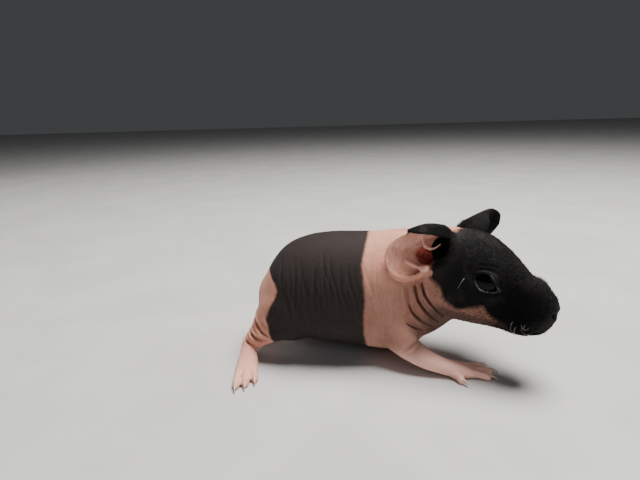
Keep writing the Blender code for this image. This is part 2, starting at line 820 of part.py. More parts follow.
def slab(name, at, towards, deep, wide, tall):
    """A block whose one face passes through the place, square to the direction, and lies behind it."""
    bm = bmesh.new()
    bmesh.ops.create_cube(bm, size=1)
    turn = Vector(towards).normalized().to_track_quat("Z", "Y").to_matrix().to_4x4()
    block = Matrix.Translation((0, 0, deep / 2)) @ Matrix.Diagonal((wide, tall, deep, 1))
    bm.transform(Matrix.Translation(at) @ turn @ block)
    mesh = bpy.data.meshes.new(name)
    bm.to_mesh(mesh)
    bm.free()
    obj = bpy.data.objects.new(name, mesh)
    bpy.context.scene.collection.objects.link(obj)
    return obj


def part_off(whole, name, at, towards, deep, wide, tall):
    """Takes the flesh beyond a plane, leaving the gap, as an object of its own."""
    way = np.array(towards, float)
    way /= np.linalg.norm(way)
    inner = slab("inner", np.array(at) + way * GAP / 2, way, deep, wide, tall)
    outer = slab("outer", np.array(at) - way * GAP / 2, way, deep, wide, tall)
    taken = boolean(clone(whole, name), inner, "INTERSECT")
    boolean(whole, outer, "DIFFERENCE")
    for block in (inner, outer):
        bpy.data.objects.remove(block)
    return taken


def finish(obj, colour, rough):
    """Metres, the shared origin, smooth shading and the node's material."""
    obj.data.transform(Matrix.Scale(MM, 4) @ Matrix.Translation((-CENTRE[0], -CENTRE[1], 0)))
    for face in obj.data.polygons:
        face.use_smooth = True
    material = bpy.data.materials.new(obj.name + "_skin")
    material.use_nodes = True
    shader = material.node_tree.nodes["Principled BSDF"]
    shader.inputs["Base Color"].default_value = (*colour, 1)
    shader.inputs["Roughness"].default_value = rough
    obj.data.materials.clear()
    obj.data.materials.append(material)


def leg_space(name, grow):
    """The space that an upper leg fills, grown by a little."""
    (at, radii), tubes = LEG_SPACE[name]
    made = [
        limb("space", [(x, y, z, a + grow, b + grow) for x, y, z, a, b in rows], sides=12, steps=2)
        for rows in tubes
    ]
    return unite(ball("space", at, [r + grow for r in radii]), made)


def foot_space(name, grow):
    """The space that a foot fills, ahead of where it parts from the leg, grown by a little."""
    at, heading, cut, sole, _ = FEET[name]
    side = -1 if name.endswith("right") else 1
    rows = carry(sole)
    tall = np.interp(cut, rows[:, 0], rows[:, 2] + rows[:, 4]) - 0.1 + grow
    stations = [(x, 1.5 * side, 1.0, 9.0 + grow, tall) for x in (cut - grow, 20.0, 36.0)]
    turn = math.radians(heading)
    across = (-math.sin(turn), math.cos(turn), 0)
    return limb("space", placed(stations, at, heading), across, sides=32, steps=1, blunt=False)


def animal():
    flesh, claws = flesh_of_body()
    fine = thin_out(flesh, "fine", FINE)
    medium = thin_out(flesh, "medium", MEDIUM)
    coarse = thin_out(flesh, "coarse", COARSE)
    skin = clone(fine, "skin")
    put(skin, coords(skin) + normals(skin) * GAP)
    nodes = {}

    for name in FEET:
        inner, outer = foot_space(name, 0), foot_space(name, GAP)
        nodes[name] = boolean(clone(medium, name), inner, "INTERSECT")
        boolean(coarse, outer, "DIFFERENCE")
        for space in (inner, outer):
            bpy.data.objects.remove(space)

    turn = np.array(HEAD_FRAME)[:3, :3]
    place = np.array(HEAD_FRAME) @ (-5.5, 0.0, -2.0, 1.0)
    way = turn @ (0.91, 0.0, 0.41)
    nodes["head"] = part_off(fine, "head", place[:3], way, 90, 64, 64)
    bpy.data.objects.remove(part_off(coarse, "spare", place[:3], way, 90, 64, 64))
    nodes["neck"] = part_off(coarse, "neck", (22.5, 0.0, 33.5), (0.966, 0.0, 0.26), 60, 46, 46)

    for name in LEG_SPACE:
        inner, outer = leg_space(name, 0), leg_space(name, GAP)
        nodes[name] = boolean(clone(coarse, name), inner, "INTERSECT")
        boolean(coarse, outer, "DIFFERENCE")
        for space in (inner, outer):
            bpy.data.objects.remove(space)
    nodes["torso"] = coarse
    coarse.name = "torso"

    for side, word in ((-1, "right"), (1, "left")):
        at = HEAD_FRAME @ Vector((EYE_AT[0], EYE_AT[1] * side, EYE_AT[2]))
        hollow = ball("hollow", at, [EYE_RADIUS + GAP] * 3, fine=4)
        boolean(nodes["head"], hollow, "DIFFERENCE")
        bpy.data.objects.remove(hollow)
        nodes["eye_" + word] = ball("eye_" + word, at, [EYE_RADIUS] * 3)
        pinna = ear("ear_" + word, side)
        nodes["ear_" + word] = boolean(pinna, skin, "DIFFERENCE")
    for name, nails in claws.items():
        unite(nodes[name], nails)
    for spare in (flesh, skin, fine, medium):
        bpy.data.objects.remove(spare)
    for name, node in nodes.items():
        node.name = name
        largest(node)
    return nodes


COLOURS = {"eye": ((0.012, 0.010, 0.010), 0.08), "torso": ((0.05, 0.042, 0.04), 0.6)}
for old in list(bpy.data.objects):
    bpy.data.objects.remove(old)
for name, node in animal().items():
    finish(node, *COLOURS.get(name.split("_")[0], ((0.72, 0.42, 0.33), 0.55)))
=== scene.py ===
"""Looks of the hairless guinea pig pup: skin, eyes, claws, whiskers, short fur, light and camera.

Shapes are worked out in millimetres in the body's own frame, as in the solids: +X to the head,
+Y to its left, +Z up, floor at 0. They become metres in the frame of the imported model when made.
"""

import math

import bmesh
import bpy
import numpy as np
from mathutils import Matrix, Vector
from mathutils.kdtree import KDTree


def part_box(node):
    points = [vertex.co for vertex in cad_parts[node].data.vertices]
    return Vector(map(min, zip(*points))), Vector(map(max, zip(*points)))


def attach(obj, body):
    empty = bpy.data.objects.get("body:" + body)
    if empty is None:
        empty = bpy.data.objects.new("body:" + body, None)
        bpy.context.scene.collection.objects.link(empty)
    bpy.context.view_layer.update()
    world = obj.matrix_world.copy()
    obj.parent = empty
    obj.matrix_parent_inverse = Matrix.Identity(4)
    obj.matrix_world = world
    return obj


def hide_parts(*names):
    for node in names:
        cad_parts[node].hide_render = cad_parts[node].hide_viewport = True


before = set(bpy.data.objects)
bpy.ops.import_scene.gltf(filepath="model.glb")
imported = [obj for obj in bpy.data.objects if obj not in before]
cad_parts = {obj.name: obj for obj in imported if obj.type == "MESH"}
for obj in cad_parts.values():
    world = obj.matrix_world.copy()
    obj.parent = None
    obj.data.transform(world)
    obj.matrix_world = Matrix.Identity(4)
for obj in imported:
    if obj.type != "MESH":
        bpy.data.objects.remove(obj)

MM = 0.001
FORM_GRAIN = 0.75  # grain at which the body's forms are melted together
SKIN_GRAIN = 0.42  # grain of the finished skin
NODES_OF_FLESH = [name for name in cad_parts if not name.startswith("eye")]
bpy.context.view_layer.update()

# ---- sizes of the body

# Head frame: between the ears at the level of their canals, +X to the nose.
HEAD_AT = (39, -2, 39.5)
HEAD_TURN = (-4, 11.5, -32)  # roll, nose down, turn to the right, in degrees

# x, underside, back, half width, height of the widest point, shift to the left
TORSO = (
    (-36.6, 15.6, 31.8, 10.6, 24, 0),
    (-34.6, 13.2, 35.2, 13.2, 24, 0),
    (-32, 10.4, 39.8, 16.4, 23.5, 0),
    (-26.5, 8.4, 45.6, 19.9, 23, 0),
    (-18, 6.8, 49.4, 21.6, 22.5, 0),
    (-8, 4.8, 51.1, 21.8, 23, 0),
    (3, 3.6, 51.4, 21.2, 24, 0),
    (13, 2, 51.7, 19.8, 25, 0),
    (22, 1.6, 52.8, 17.6, 26, 0),
    (29, 4.6, 53.4, 15, 27, -0.3),
)
NECK = (
    (20, 8, 52.3, 16, 27, 0),
    (27, 6.5, 53.6, 15.4, 28, -0.3),
    (34, 9.5, 53.8, 14.4, 30, -1.2),
    (41, 16, 53, 13.6, 33, -3),
)
HEAD = (
    (-9, -15, 11.5, 12, -1, 0),
    (-4, -18, 14.3, 13.8, -2.5, 0),
    (2.5, -19.5, 15.8, 14.8, -4, 0),
    (8.5, -19.3, 17, 14.9, -4.5, 0),
    (14, -18.4, 16.8, 14.3, -4.5, 0),
    (19, -17.2, 15.1, 13.2, -4.5, 0),
    (25, -15.5, 12.2, 11.2, -4.5, 0),
    (29, -14.7, 9.6, 9.9, -4.5, 0),
    (33, -14.5, 7, 9.1, -4.5, 0),
    (37, -13.8, 5.6, 8.3, -4, 0),
    (40, -11.8, 4.3, 7.2, -3.5, 0),
)
THIGH = (-23.5, 11.5, 20.5), (13, 10.5, 13)
LIMBS = (
    (
        (18, -10, 24, 7, 10), (19, -14, 15, 5.8, 7.5), (23.8, -17, 10.2, 5, 5.4),
        (30.6, -19.4, 6.3, 4.2, 3.9), (38.2, -20.4, 3.9, 3.6, 2.9),
    ),
    (
        (15, 10, 24, 7, 10), (8.5, 15, 14, 5.5, 7), (6.5, 16.6, 8.6, 4.2, 4.4),
        (9.5, 16.6, 5.8, 3.4, 3.4), (13, 16.4, 3.9, 3.1, 2.8),
    ),
    (
        (-28, -8, 27, 8, 8), (-32.6, -10.5, 18, 6.6, 6.2), (-36.4, -12.8, 11.4, 4.7, 4.3),
        (-41.4, -13.4, 5.2, 3.6, 3.7),
    ),
    (
        (-29, 8, 27, 8.5, 8.5), (-31.5, 10.5, 18, 6.5, 6), (-33, 12.5, 10.5, 4.8, 4.2),
        (-34, 13.5, 4.8, 3.6, 3.5),
    ),
    ((-21, -17.5, 16, 4.6, 5), (-29.5, -17, 13, 4.4, 4), (-38.6, -14.2, 7.6, 4, 3.9)),
    ((-19, 16.5, 14.5, 4.6, 4.8), (-26, 15.5, 11.5, 4.2, 3.6), (-33, 13.8, 6.5, 3.5, 3.4)),
)

# soles as stations from the wrist or heel; toes as root x, root y, angle, length, radius
FORE_SOLE = (
    (0, 0, 3.7, 3.6, 2.8), (4, 0, 2.9, 4.3, 2.5), (8, 0, 2.2, 4.5, 2.1),
    (11.5, 0, 1.6, 3.8, 1.5),
)
FORE_TOES = (
    (3, 3.1, 60, 5.2, 1.5),
    (9.5, 2.7, 16, 7.4, 1.45),
    (10.5, 0.1, 1, 8.2, 1.5),
    (9.5, -2.6, -16, 7, 1.4),
)
FORE_TOES_CLOSE = ((5.6, 2.6, 34, 5.2, 1.4), *FORE_TOES[1:])
HIND_SOLE = (
    (0, 0, 3.9, 3.5, 3.8), (6, 0, 3.3, 3.7, 3.1), (12, 0, 2.7, 4.3, 2.5),
    (17.5, 0, 2, 4.6, 1.9),
)
HIND_TOES = ((17, 2.9, 3, 10.2, 1.6), (16.8, -0.1, 0, 9.4, 1.65), (15.2, -2.9, -5, 8.2, 1.6))
FEET = {
    "forefoot_right": ((38.5, -20.4), 10, FORE_SOLE, FORE_TOES),
    "forefoot_left": ((13, 16.4), 4, FORE_SOLE, FORE_TOES_CLOSE),
    "hindfoot_right": ((-41.9, -13.2), -77, HIND_SOLE, HIND_TOES),
    "hindfoot_left": ((-34, 13.5), 8, HIND_SOLE, HIND_TOES),
}

EYE_RADIUS = 5.2
EYE_AT = (19.9, 7.4, 2.9)  # in the head frame, left eye
EYE_LOOK = (0.24, 0.95, 0.16)
EYE_OPEN = (4.75, 2.75)  # half length and half height of the opening
EYE_SET = (0.1, -0.45)  # middle of the opening, along and up from the middle of the ball
EYE_SLANT = -19  # degrees, front corner down
LID = 0.8
CORNEA = 0.012  # its bulge, as a share of the radius

# Each ear runs from a root in the head to its rim, both from the lobe in front, round behind
# the canal, to the top in front; left-handed head frame for the right ear.
EAR_ROOT = {
    -1: (
        (0.8, 13.6, -1), (-0.8, 13.4, -2.6), (-2.8, 13.4, -2.8), (-4.8, 13, -1.2),
        (-5.9, 12.4, 2.2), (-5.8, 11.2, 6.2), (-4.2, 9.2, 9.6), (-1, 7.4, 12.2), (2.8, 6.6, 13.4),
    ),
    1: (
        (3.4, 13.8, -0.6), (1.2, 13.6, -2.2), (-1.6, 13.6, -2.6), (-4.2, 13.2, -0.6),
        (-5.4, 12.2, 3), (-5, 11, 6.4), (-3.4, 10.2, 8.4), (-0.6, 9.4, 10.2), (3, 9.6, 10.8),
        (6.4, 10.8, 9.6),
    ),
}
EAR_RIM = {
    -1: (
        (-0.4, 16.2, 0.4), (-2.2, 18.6, -2.2), (-5.4, 21.6, -4.2), (-9.6, 24.2, -3.4),
        (-12.9, 25.6, 0.9), (-13.6, 24, 6.6), (-10.6, 19.3, 11.2), (-5.4, 15.5, 15.2),
        (1.2, 9.6, 15.6),
    ),
    1: (
        (5, 15.8, -0.4), (4.4, 18.8, -0.4), (4.8, 21.2, 4.6), (7, 22.2, 11.6), (9.2, 21.8, 17.8),
        (8.6, 20.6, 21.6), (4.8, 19, 22.7), (5.8, 16.8, 20.2), (7.8, 14.8, 16.8), (7.4, 12.4, 12.8),
    ),
}
EAR_FACES = {-1: (0.6, 0.76, 0.27), 1: (0.75, 0.5, -0.43)}  # where the cup opens to
EAR_DEEP = {-1: 2, 1: 2.4}
EAR_THICK = 0.95
# the right ear's top is folded down over the cup: where it leaves the cup, its crest, its free edge
EAR_FLAP = (
    ((-10.2, 17.8, 12.2), (-7.8, 16.4, 13.4), (-4.9, 15, 14.4), (-2.2, 12.8, 15), (0.2, 10.2, 15),
     (2.3, 8, 14)),
    ((-10.4, 18.6, 13), (-7.3, 17.8, 15.5), (-4.3, 16.8, 17.4), (-1.5, 14.8, 18.1),
     (0.8, 11.8, 17.7), (2.5, 8.8, 16)),
    ((-10, 19.4, 12.8), (-6.5, 20.3, 13.6), (-3.6, 20.2, 14.3), (-1.2, 18.6, 14.6),
     (1.4, 15.6, 14.4), (3.6, 11.6, 13.6)),
)
FLAP_FACES = (0.4, 0.7, -0.6)
# the hollow in front of the cup that leads into the head: place, radii
EAR_PIT = (1, 10.4, 8.8), (3.3, 4.6, 5.2)
EAR_BOWL = (-2.8, 13.2, 4.8), (3.2, 2.6, 3.8)
# rounded ridges of cartilage in the cup, as stations with a radius
EAR_RIDGES = {
    -1: (
        ((-6.6, 12.9, 11.2, 0.6), (-6.1, 12.7, 9.8, 0.6), (-5.2, 12.5, 8.5, 0.6),
         (-3.8, 12.3, 7.6, 0.6), (-2, 11.9, 7.4, 0.6), (-0.6, 11.3, 8.6, 0.55),
         (0.5, 10.8, 10.3, 0.45)),
        ((-7.8, 18.5, 1.5, 0.45), (-6.1, 17.8, 1.2, 0.6), (-3.5, 17.3, 0.7, 0.8),
         (-1.2, 17.2, 0.9, 1.1), (0.2, 17, 1.4, 1.3)),
    ),
    1: (
        ((0.4, 14.1, -0.4, 0.5), (-0.1, 15, 1, 0.65), (0.2, 16, 5.3, 0.7), (0.5, 15.8, 9.4, 0.65),
         (-0.1, 14.6, 12.1, 0.5)),
        ((-3.4, 11.8, 9.5, 0.5), (-2.2, 12, 12.9, 0.6), (-1.1, 12.8, 15.1, 0.65),
         (0.4, 14.3, 17.3, 0.6), (2.4, 16.2, 19.6, 0.45)),
    ),
}


# ---- shapes


def carry(rows, steps=6):
    """Rows of sizes carried smoothly from station to station."""
    rows = np.asarray(rows, float)
    along = np.concatenate([[0], np.cumsum(np.linalg.norm(np.diff(rows, axis=0), axis=1))])
    slope = np.gradient(rows, along, axis=0)
    made = []
    for i in range(len(rows) - 1):
        reach = along[i + 1] - along[i]
        for s in np.linspace(0, 1, steps, endpoint=False):
            made.append(
                (2 * s**3 - 3 * s**2 + 1) * rows[i]
                + (s**3 - 2 * s**2 + s) * reach * slope[i]
                + (3 * s**2 - 2 * s**3) * rows[i + 1]
                + (s**3 - s**2) * reach * slope[i + 1]
            )
    return np.array(made + [rows[-1]])


def unit(vectors):
    """The vectors at length 1."""
    return vectors / np.maximum(np.linalg.norm(vectors, axis=-1), 1e-9)[..., None]


def cap(ring, centre, inner, length):
    """Rings that round off one end, from the last ring outwards."""
    out = unit(centre - inner) * length
    angles = np.radians([24, 46, 66, 82])
    return [centre + out * math.sin(a) + (ring - centre) * math.cos(a) for a in angles]


def capped(rings, centres, first, last):
    """The rings with a rounded cap of the given length at each end."""
    head = cap(rings[0], centres[0], centres[1], first)
    return head[::-1] + list(rings) + cap(rings[-1], centres[-1], centres[-2], last)


def new_object(name, data):
    obj = bpy.data.objects.new(name, data)
    bpy.context.scene.collection.objects.link(obj)
    return obj


def from_bmesh(name, bm):
    mesh = bpy.data.meshes.new(name)
    bm.to_mesh(mesh)
    bm.free()
    return new_object(name, mesh)


def mesh_object(verts, faces):
    """A form to be joined with others, its faces turned outwards."""
    mesh = bpy.data.meshes.new("form")
    mesh.from_pydata([tuple(v) for v in verts], [], [tuple(f) for f in faces])
    mesh.validate()
    bm = bmesh.new()
    bm.from_mesh(mesh)
    bmesh.ops.recalc_face_normals(bm, faces=bm.faces)
    return from_bmesh("form", bm)


def loft(rings):
    """A closed skin over rings of equal count."""
    count = len(rings[0])
    faces = []
    for low in range(0, (len(rings) - 1) * count, count):
        for j in range(count):
            k = (j + 1) % count
            faces.append((low + j, low + k, low + count + k, low + count + j))
    faces += [range(count), range(low + count, low + 2 * count)]
    return mesh_object(np.concatenate(rings), faces)


def barrel(stations, first, last, sides=44, round_by=0.92):
    """Upright sections along X, each a rounded oval between its underside and its back."""
    angles = np.linspace(0, 2 * math.pi, sides, endpoint=False)
    c, s = (np.sign(a) * np.abs(a) ** round_by for a in (np.cos(angles), np.sin(angles)))
    rings, centres = [], []
    for x, low, high, wide, middle, left in carry(stations):
        tall = np.where(s > 0, high - middle, middle - low)
        rings.append(np.stack([np.full(sides, x), left + wide * c, middle + tall * s], 1))
        centres.append(np.array([x, left, (low + high) / 2]))
    return loft(capped(rings, centres, first, last))


def limb(stations, across=(0, 1, 0), sides=18, steps=5):
    """A round tube with blunt ends: each station is x, y, z, radius across, radius the other way."""
    rows = carry(stations, steps)
    points = rows[:, :3]
    ahead = unit(np.gradient(points, axis=0))
    side = unit(across - ahead * (ahead @ across)[:, None])
    up = np.cross(ahead, side)
    angles = np.linspace(0, 2 * math.pi, sides, endpoint=False)
    rings = [
        p + np.outer(np.cos(angles) * r[3], a) + np.outer(np.sin(angles) * r[4], b)
        for p, r, a, b in zip(points, rows, side, up)
    ]
    return loft(capped(rings, points, min(rows[0][3:]), min(rows[-1][3:])))


def turned(degrees):
    x, y, z = (math.radians(a) for a in degrees)
    return Matrix.Rotation(z, 4, "Z") @ Matrix.Rotation(y, 4, "Y") @ Matrix.Rotation(x, 4, "X")


def ball(name, at, radii):
    bm = bmesh.new()
    bmesh.ops.create_icosphere(bm, subdivisions=4, radius=1)
    bm.transform(Matrix.Translation(at) @ Matrix.Diagonal((*radii, 1)))
    return from_bmesh(name, bm)


def join(name, pieces):
    bm = bmesh.new()
    for piece in pieces:
        bm.from_mesh(piece.data)
        bpy.data.objects.remove(piece)
    return from_bmesh(name, bm)


def applied(obj):
    """The object with its modifiers worked into its mesh."""
    graph = bpy.context.evaluated_depsgraph_get()
    mesh = bpy.data.meshes.new_from_object(obj.evaluated_get(graph))
    obj.modifiers.clear()
    obj.data = mesh
    return obj


def remesh(obj, grain):
    step = obj.modifiers.new("grain", "REMESH")
    step.mode, step.voxel_size = "VOXEL", grain
    return applied(obj)


def largest(obj):
    """Keeps only the largest closed surface."""
    ends = values(obj.data.edges, "vertices", 2, int)
    label = np.arange(len(obj.data.vertices))
    while True:
        fresh = label.copy()
        np.minimum.at(fresh, ends, label[ends].min(1)[:, None])
        fresh = fresh[fresh]
        if (fresh == label).all():
            break
        label = fresh
    names, counts = np.unique(label, return_counts=True)
    if len(names) > 1:
        bm = bmesh.new()
        bm.from_mesh(obj.data)
        bm.verts.ensure_lookup_table()
        spare = np.flatnonzero(label != names[counts.argmax()])
        bmesh.ops.delete(bm, geom=[bm.verts[i] for i in spare], context="VERTS")
        bm.to_mesh(obj.data)
        bm.free()
    return obj


# ---- working the skin


def values(items, key, width, kind=float):
    """One property of all items of a mesh, as rows of the given width."""
    found = np.empty(len(items) * width, kind)
    items.foreach_get(key, found)
    return found.reshape(-1, width)


def coords(obj):
    return values(obj.data.vertices, "co", 3)


def normals(obj):
    return values(obj.data.vertices, "normal", 3)


def put(obj, points):
    obj.data.vertices.foreach_set("co", np.ascontiguousarray(points).reshape(-1))
    obj.data.update()


def relax(obj, amount, rounds):
    """Evens out the surface; amount is one weight per vertex."""
    a, b = values(obj.data.edges, "vertices", 2, int).T
    points = coords(obj)
    size = len(points)
    degree = (np.bincount(a, minlength=size) + np.bincount(b, minlength=size))[:, None]
    for _ in range(rounds):
        sums = [
            np.bincount(a, points[b, k], size) + np.bincount(b, points[a, k], size) for k in range(3)
        ]
        points = points + (np.stack(sums, 1) / degree - points) * amount[:, None]
    put(obj, points)


def refine(obj, chosen):
    """Halves the grain where every corner of a face is chosen."""
    bm = bmesh.new()
    bm.from_mesh(obj.data)
    edges = {e for f in bm.faces if all(chosen[v.index] for v in f.verts) for e in f.edges}
    bmesh.ops.subdivide_edges(bm, edges=list(edges), cuts=1, use_grid_fill=True)
    bmesh.ops.triangulate(bm, faces=[f for f in bm.faces if len(f.verts) > 4])
    bm.to_mesh(obj.data)
    bm.free()


def crease_shade_field(points):
    """How deep each point lies in the folds of neck and limbs, from 0 to 1, for painted shade in the
    folds.
    """
    field = np.zeros(len(points))
    for wide, deep, *path in NECK_FOLDS + BODY_CREASES:
        part, gap, fade = by_fold(points, path, 4)
        field[part] += min(deep / 3, 1) * fade * bell(gap, wide * 0.7)
    return np.clip(field, 0, 1)


def rise(x, start=0, over=1):
    """0 up to the start, then smoothly to 1 over the given stretch."""
    x = np.clip((x - start) / over, 0, 1)
    return x * x * (3 - 2 * x)


def fall(x, start=0, over=1):
    return 1 - rise(x, start, over)


def bell(x, wide):
    """1 at 0, falling to both sides."""
    return np.exp(-((x / wide) ** 2))


def near(points, at, reach):
    """1 at the place, falling to 0.01 at the reach."""
    return np.exp(-4.6 * ((points - np.array(at)) ** 2).sum(1) / reach**2)


def path_gap(points, path):
    """Distance from each point to a smooth path, and how far along it the nearest place is."""
    line = carry(path, 6)
    best = np.full(len(points), 1e9)
    where = np.zeros(len(points))
    for i in range(len(line) - 1):
        a, d = line[i], line[i + 1] - line[i]
        t = np.clip((points - a) @ d / (d @ d), 0, 1)
        gap = np.linalg.norm(points - a - t[:, None] * d, axis=1)
        closer = gap < best
        best[closer] = gap[closer]
        where[closer] = (i + t[closer]) / (len(line) - 1)
    return best, where


def boxed(points, places, margin=0):
    """Whether each point lies in the box round the places, widened by the margin."""
    low, high = np.min(places, 0) - margin, np.max(places, 0) + margin
    return ((points > low) & (points < high)).all(1)


def by_fold(points, path, margin):
    """Which points lie by a path laid on the skin, how far from it, and a fade to its ends."""
    path = np.array([points[((points - at) ** 2).sum(1).argmin()] for at in np.array(path)])
    part = boxed(points, path, margin)
    gap, where = path_gap(points[part], path)
    return part, gap, np.sin(np.pi * np.clip(where, 0.03, 0.97)) ** 0.5


def groove(points, normal, fold, lip=0, side=1):
    """Presses a fold into the skin, shallow at both ends, with a swollen lip on either side."""
    wide, deep, *path = fold
    part, gap, fade = by_fold(points, mirrored(path, side), 4 * wide + 1)
    cut = bell(gap, wide) - lip * bell(gap - 2 * wide, wide)
    points = points.copy()
    points[part] -= normal[part] * (deep * fade * cut)[:, None]
    return points


def swell(points, normal, swellings, side):
    """Raises the skin round each place by its amount, or sinks it."""
    for at, reach, amount in swellings:
        points = points + normal * (amount * near(points, mirrored(at, side), reach))[:, None]
    return points


HEAD_FRAME = Matrix.Translation(HEAD_AT) @ turned(HEAD_TURN)
TO_BODY = np.array(HEAD_FRAME)
TO_HEAD = np.linalg.inv(TO_BODY)


def moved(points, matrix):
    return points @ matrix[:3, :3].T + matrix[:3, 3]


def in_head(points):
    return moved(points, TO_HEAD)


def in_body(points):
    return moved(points, TO_BODY)


def mirrored(places, side):
    """Places given for the left, on the given side."""
    return np.array(places, float) * (1, side, 1)


# ---- eyes


def eye_frame(side):
    """Columns: along the opening, up it, out of the head; for one eye, in the head frame."""
    out = unit(mirrored(EYE_LOOK, side))
    slant = math.radians(EYE_SLANT)
    along = np.array([math.cos(slant), 0, math.sin(slant)])
    along = unit(along - out * (along @ out))
    return np.stack([along, np.cross(out, along) * -side, out], 1)


def in_eye(points, side):
    """Head-frame points in the frame of one eye."""
    return (points - mirrored(EYE_AT, side)) @ eye_frame(side)


def eye_away(local):
    """1 on the edge of the opening, an almond with its sharp corner in front."""
    along = (local[:, 0] - EYE_SET[0]) / EYE_OPEN[0]
    up = (local[:, 1] - EYE_SET[1]) / EYE_OPEN[1]
    front = np.where(up > 0, 0.42, 0.3)
    narrow = 1 - front * rise(along) - 0.2 * rise(-along)
    return np.hypot(along, up / narrow)


def open_eye(points, side):
    """Wraps the skin round the eyeball as lids, and sinks it behind the opening."""
    local = in_eye(points, side)
    reach = np.linalg.norm(local, axis=1)
    away = eye_away(local)
    # the skin follows the ball out to 1.25 openings, and by 1.85 it has run into cheek and brow
    hold = fall(away, 1.25, 0.6)
    upper = rise(local[:, 1] / 1.5 + 0.5)
    lid = EYE_RADIUS + LID * (0.75 + 0.35 * upper)
    rim = lid + 0.14 * bell(away - 1.16, 0.12)
    crease = 0.16 * upper * bell(away - 1.5, 0.1)
    behind = EYE_RADIUS - 1
    wanted = behind + (rim - crease - behind) * rise(away, 0.93, 0.14)
    fresh = reach + (wanted - reach) * hold
    ratio = np.where((local[:, 2] > 0) & (reach > 1), fresh / np.maximum(reach, 1), 1)
    return mirrored(EYE_AT, side) + (local * ratio[:, None]) @ eye_frame(side).T


# ---- ears


def facing(grid, way):
    """Normals over a grid of points, on the side that looks the given way."""
    normal = unit(np.cross(np.gradient(grid, axis=0), np.gradient(grid, axis=1)))
    return -normal if (normal[len(grid) // 2] @ way).mean() < 0 else normal


def ear_sheets(across=16, around=6):
    """The cup of each ear and the right one's flap, as grids in the head frame.

    Each is (kind, side, grid, normal out of the cup); rows run from root to rim, columns from the
    lobe round to the front.
    """
    sheets = []
    for side in (-1, 1):
        root, rim = carry(EAR_ROOT[side], around), carry(EAR_RIM[side], around)
        faces = unit(np.array(EAR_FACES[side]))
        sunk = faces * EAR_DEEP[side]
        rows = []
        for u in np.linspace(0, 1, across + 1):
            rows.append(root + (rim - root) * u - sunk * math.sin(math.pi * u**0.8))
        grid = mirrored(rows, side)
        sheets.append(("cup", side, grid, facing(grid, mirrored(faces, side))))
    lines = np.array([carry(line, around) for line in EAR_FLAP])
    grid = mirrored(np.stack([carry(lines[:, j], 6) for j in range(lines.shape[1])], 1), -1)
    sheets.append(("flap", -1, grid, facing(grid, FLAP_FACES)))
    return sheets


def ear_solid(grid, normal):
    """The sheet given its thickness, thinner to the rim."""
    half = (EAR_THICK / 2 * np.linspace(1.25, 0.85, len(grid)))[:, None, None]
    verts = np.concatenate([grid + normal * half, grid - normal * half]).reshape(-1, 3)
    at = np.arange(normal[:, :, 0].size).reshape(normal.shape[:2])
    front = np.stack([at[:-1, :-1], at[:-1, 1:], at[1:, 1:], at[1:, :-1]], 2).reshape(-1, 4)
    edge = np.concatenate([at[0, :-1], at[:-1, -1], at[-1, :0:-1], at[:0:-1, 0]])
    after = np.roll(edge, -1)
    rim = np.stack([after, edge, at.size + edge, at.size + after], 1)
    leaf = np.concatenate([front, at.size + front[:, ::-1], rim])
    return mesh_object(in_body(verts), leaf)


def ridge_path(ridge, side):
    """The places and radii along a ridge, in the head frame."""
    rows = np.array(ridge)
    return mirrored(rows[:, :3], side), rows[:, 3]


def ear_ridges():
    made = []
    for side, ridges in EAR_RIDGES.items():
        for ridge in ridges:
            path, radius = ridge_path(ridge, side)
            stations = np.column_stack([in_body(path), radius, radius])
            made.append(limb(stations, across=(0.3, 0.2, 0.93), sides=12))
    return made


def hollow_frame(side, at):
    """The head frame moved and turned to a hollow of one ear."""
    return Matrix.Translation(mirrored(at, side)) @ turned((-20 * side, 0, -24 * side))


def in_hollow(local, side, at, radii):
    """How far out of a hollow each point lies, 1 on its wall."""
    inside = np.linalg.inv(np.array(hollow_frame(side, at)))
    return np.linalg.norm(moved(local, inside) / radii, axis=1)


def hollow(body, side, at, radii):
    """Cuts a hollow of one ear into the head."""
    cutter = ball("hollow", (0, 0, 0), radii)
    cutter.data.transform(HEAD_FRAME @ hollow_frame(side, at))
    step = body.modifiers.new("hollow", "BOOLEAN")
    step.object, step.operation, step.solver = cutter, "DIFFERENCE", "EXACT"
    applied(body)
    bpy.data.objects.remove(cutter)


# ---- feet


def compass(degrees):
    """The cosine and sine of a heading."""
    return math.cos(math.radians(degrees)), math.sin(math.radians(degrees))


def placed(rows, at, heading):
    """Foot stations given from the wrist or heel, turned to the heading and set in place."""
    c, s = compass(heading)
    return [(at[0] + x * c - y * s, at[1] + x * s + y * c, z, *more) for x, y, z, *more in rows]


def abreast(degrees):
    """The level direction square to a heading."""
    c, s = compass(degrees)
    return -s, c, 0


def foot(at, heading, sole, toes):
    """Flesh and claws of a foot."""
    flesh = [limb(placed(sole, at, heading), abreast(heading))]
    claws = []
    for x, y, angle, length, r in toes:
        c, s = compass(angle)

        def out(d, z, *more):
            return (x + d * c, y + d * s, z, *more)

        rows = [
            out(-3, r + 0.4, r * 0.9, r * 0.9),
            out(length * 0.2, r + 0.75, r * 0.92, r * 0.9),
            out(length * 0.42, r + 0.7, r * 0.8, r * 0.82),
            out(length * 0.72, r + 0.1, r * 0.98, r * 0.95),
            out(length - r * 0.8, r - 0.25, r * 0.8, r * 0.78),
        ]
        flesh.append(limb(placed(rows, at, heading), abreast(heading + angle), 16))
        nail = [
            out(length - 2.2, r + 0.45, 0.45, 0.4),
            out(length - 1, r + 0.5, 0.5, 0.5),
            out(length + 0.3, r + 0.25, 0.42, 0.46),
            out(length + 1.3, r - 0.3, 0.27, 0.33),
            out(length + 2, max(r - 0.95, 0.32), 0.1, 0.14),
        ]
        claws.append(limb(placed(nail, at, heading), abreast(heading + angle), 12, 4))
    return flesh, claws


# ---- the skin

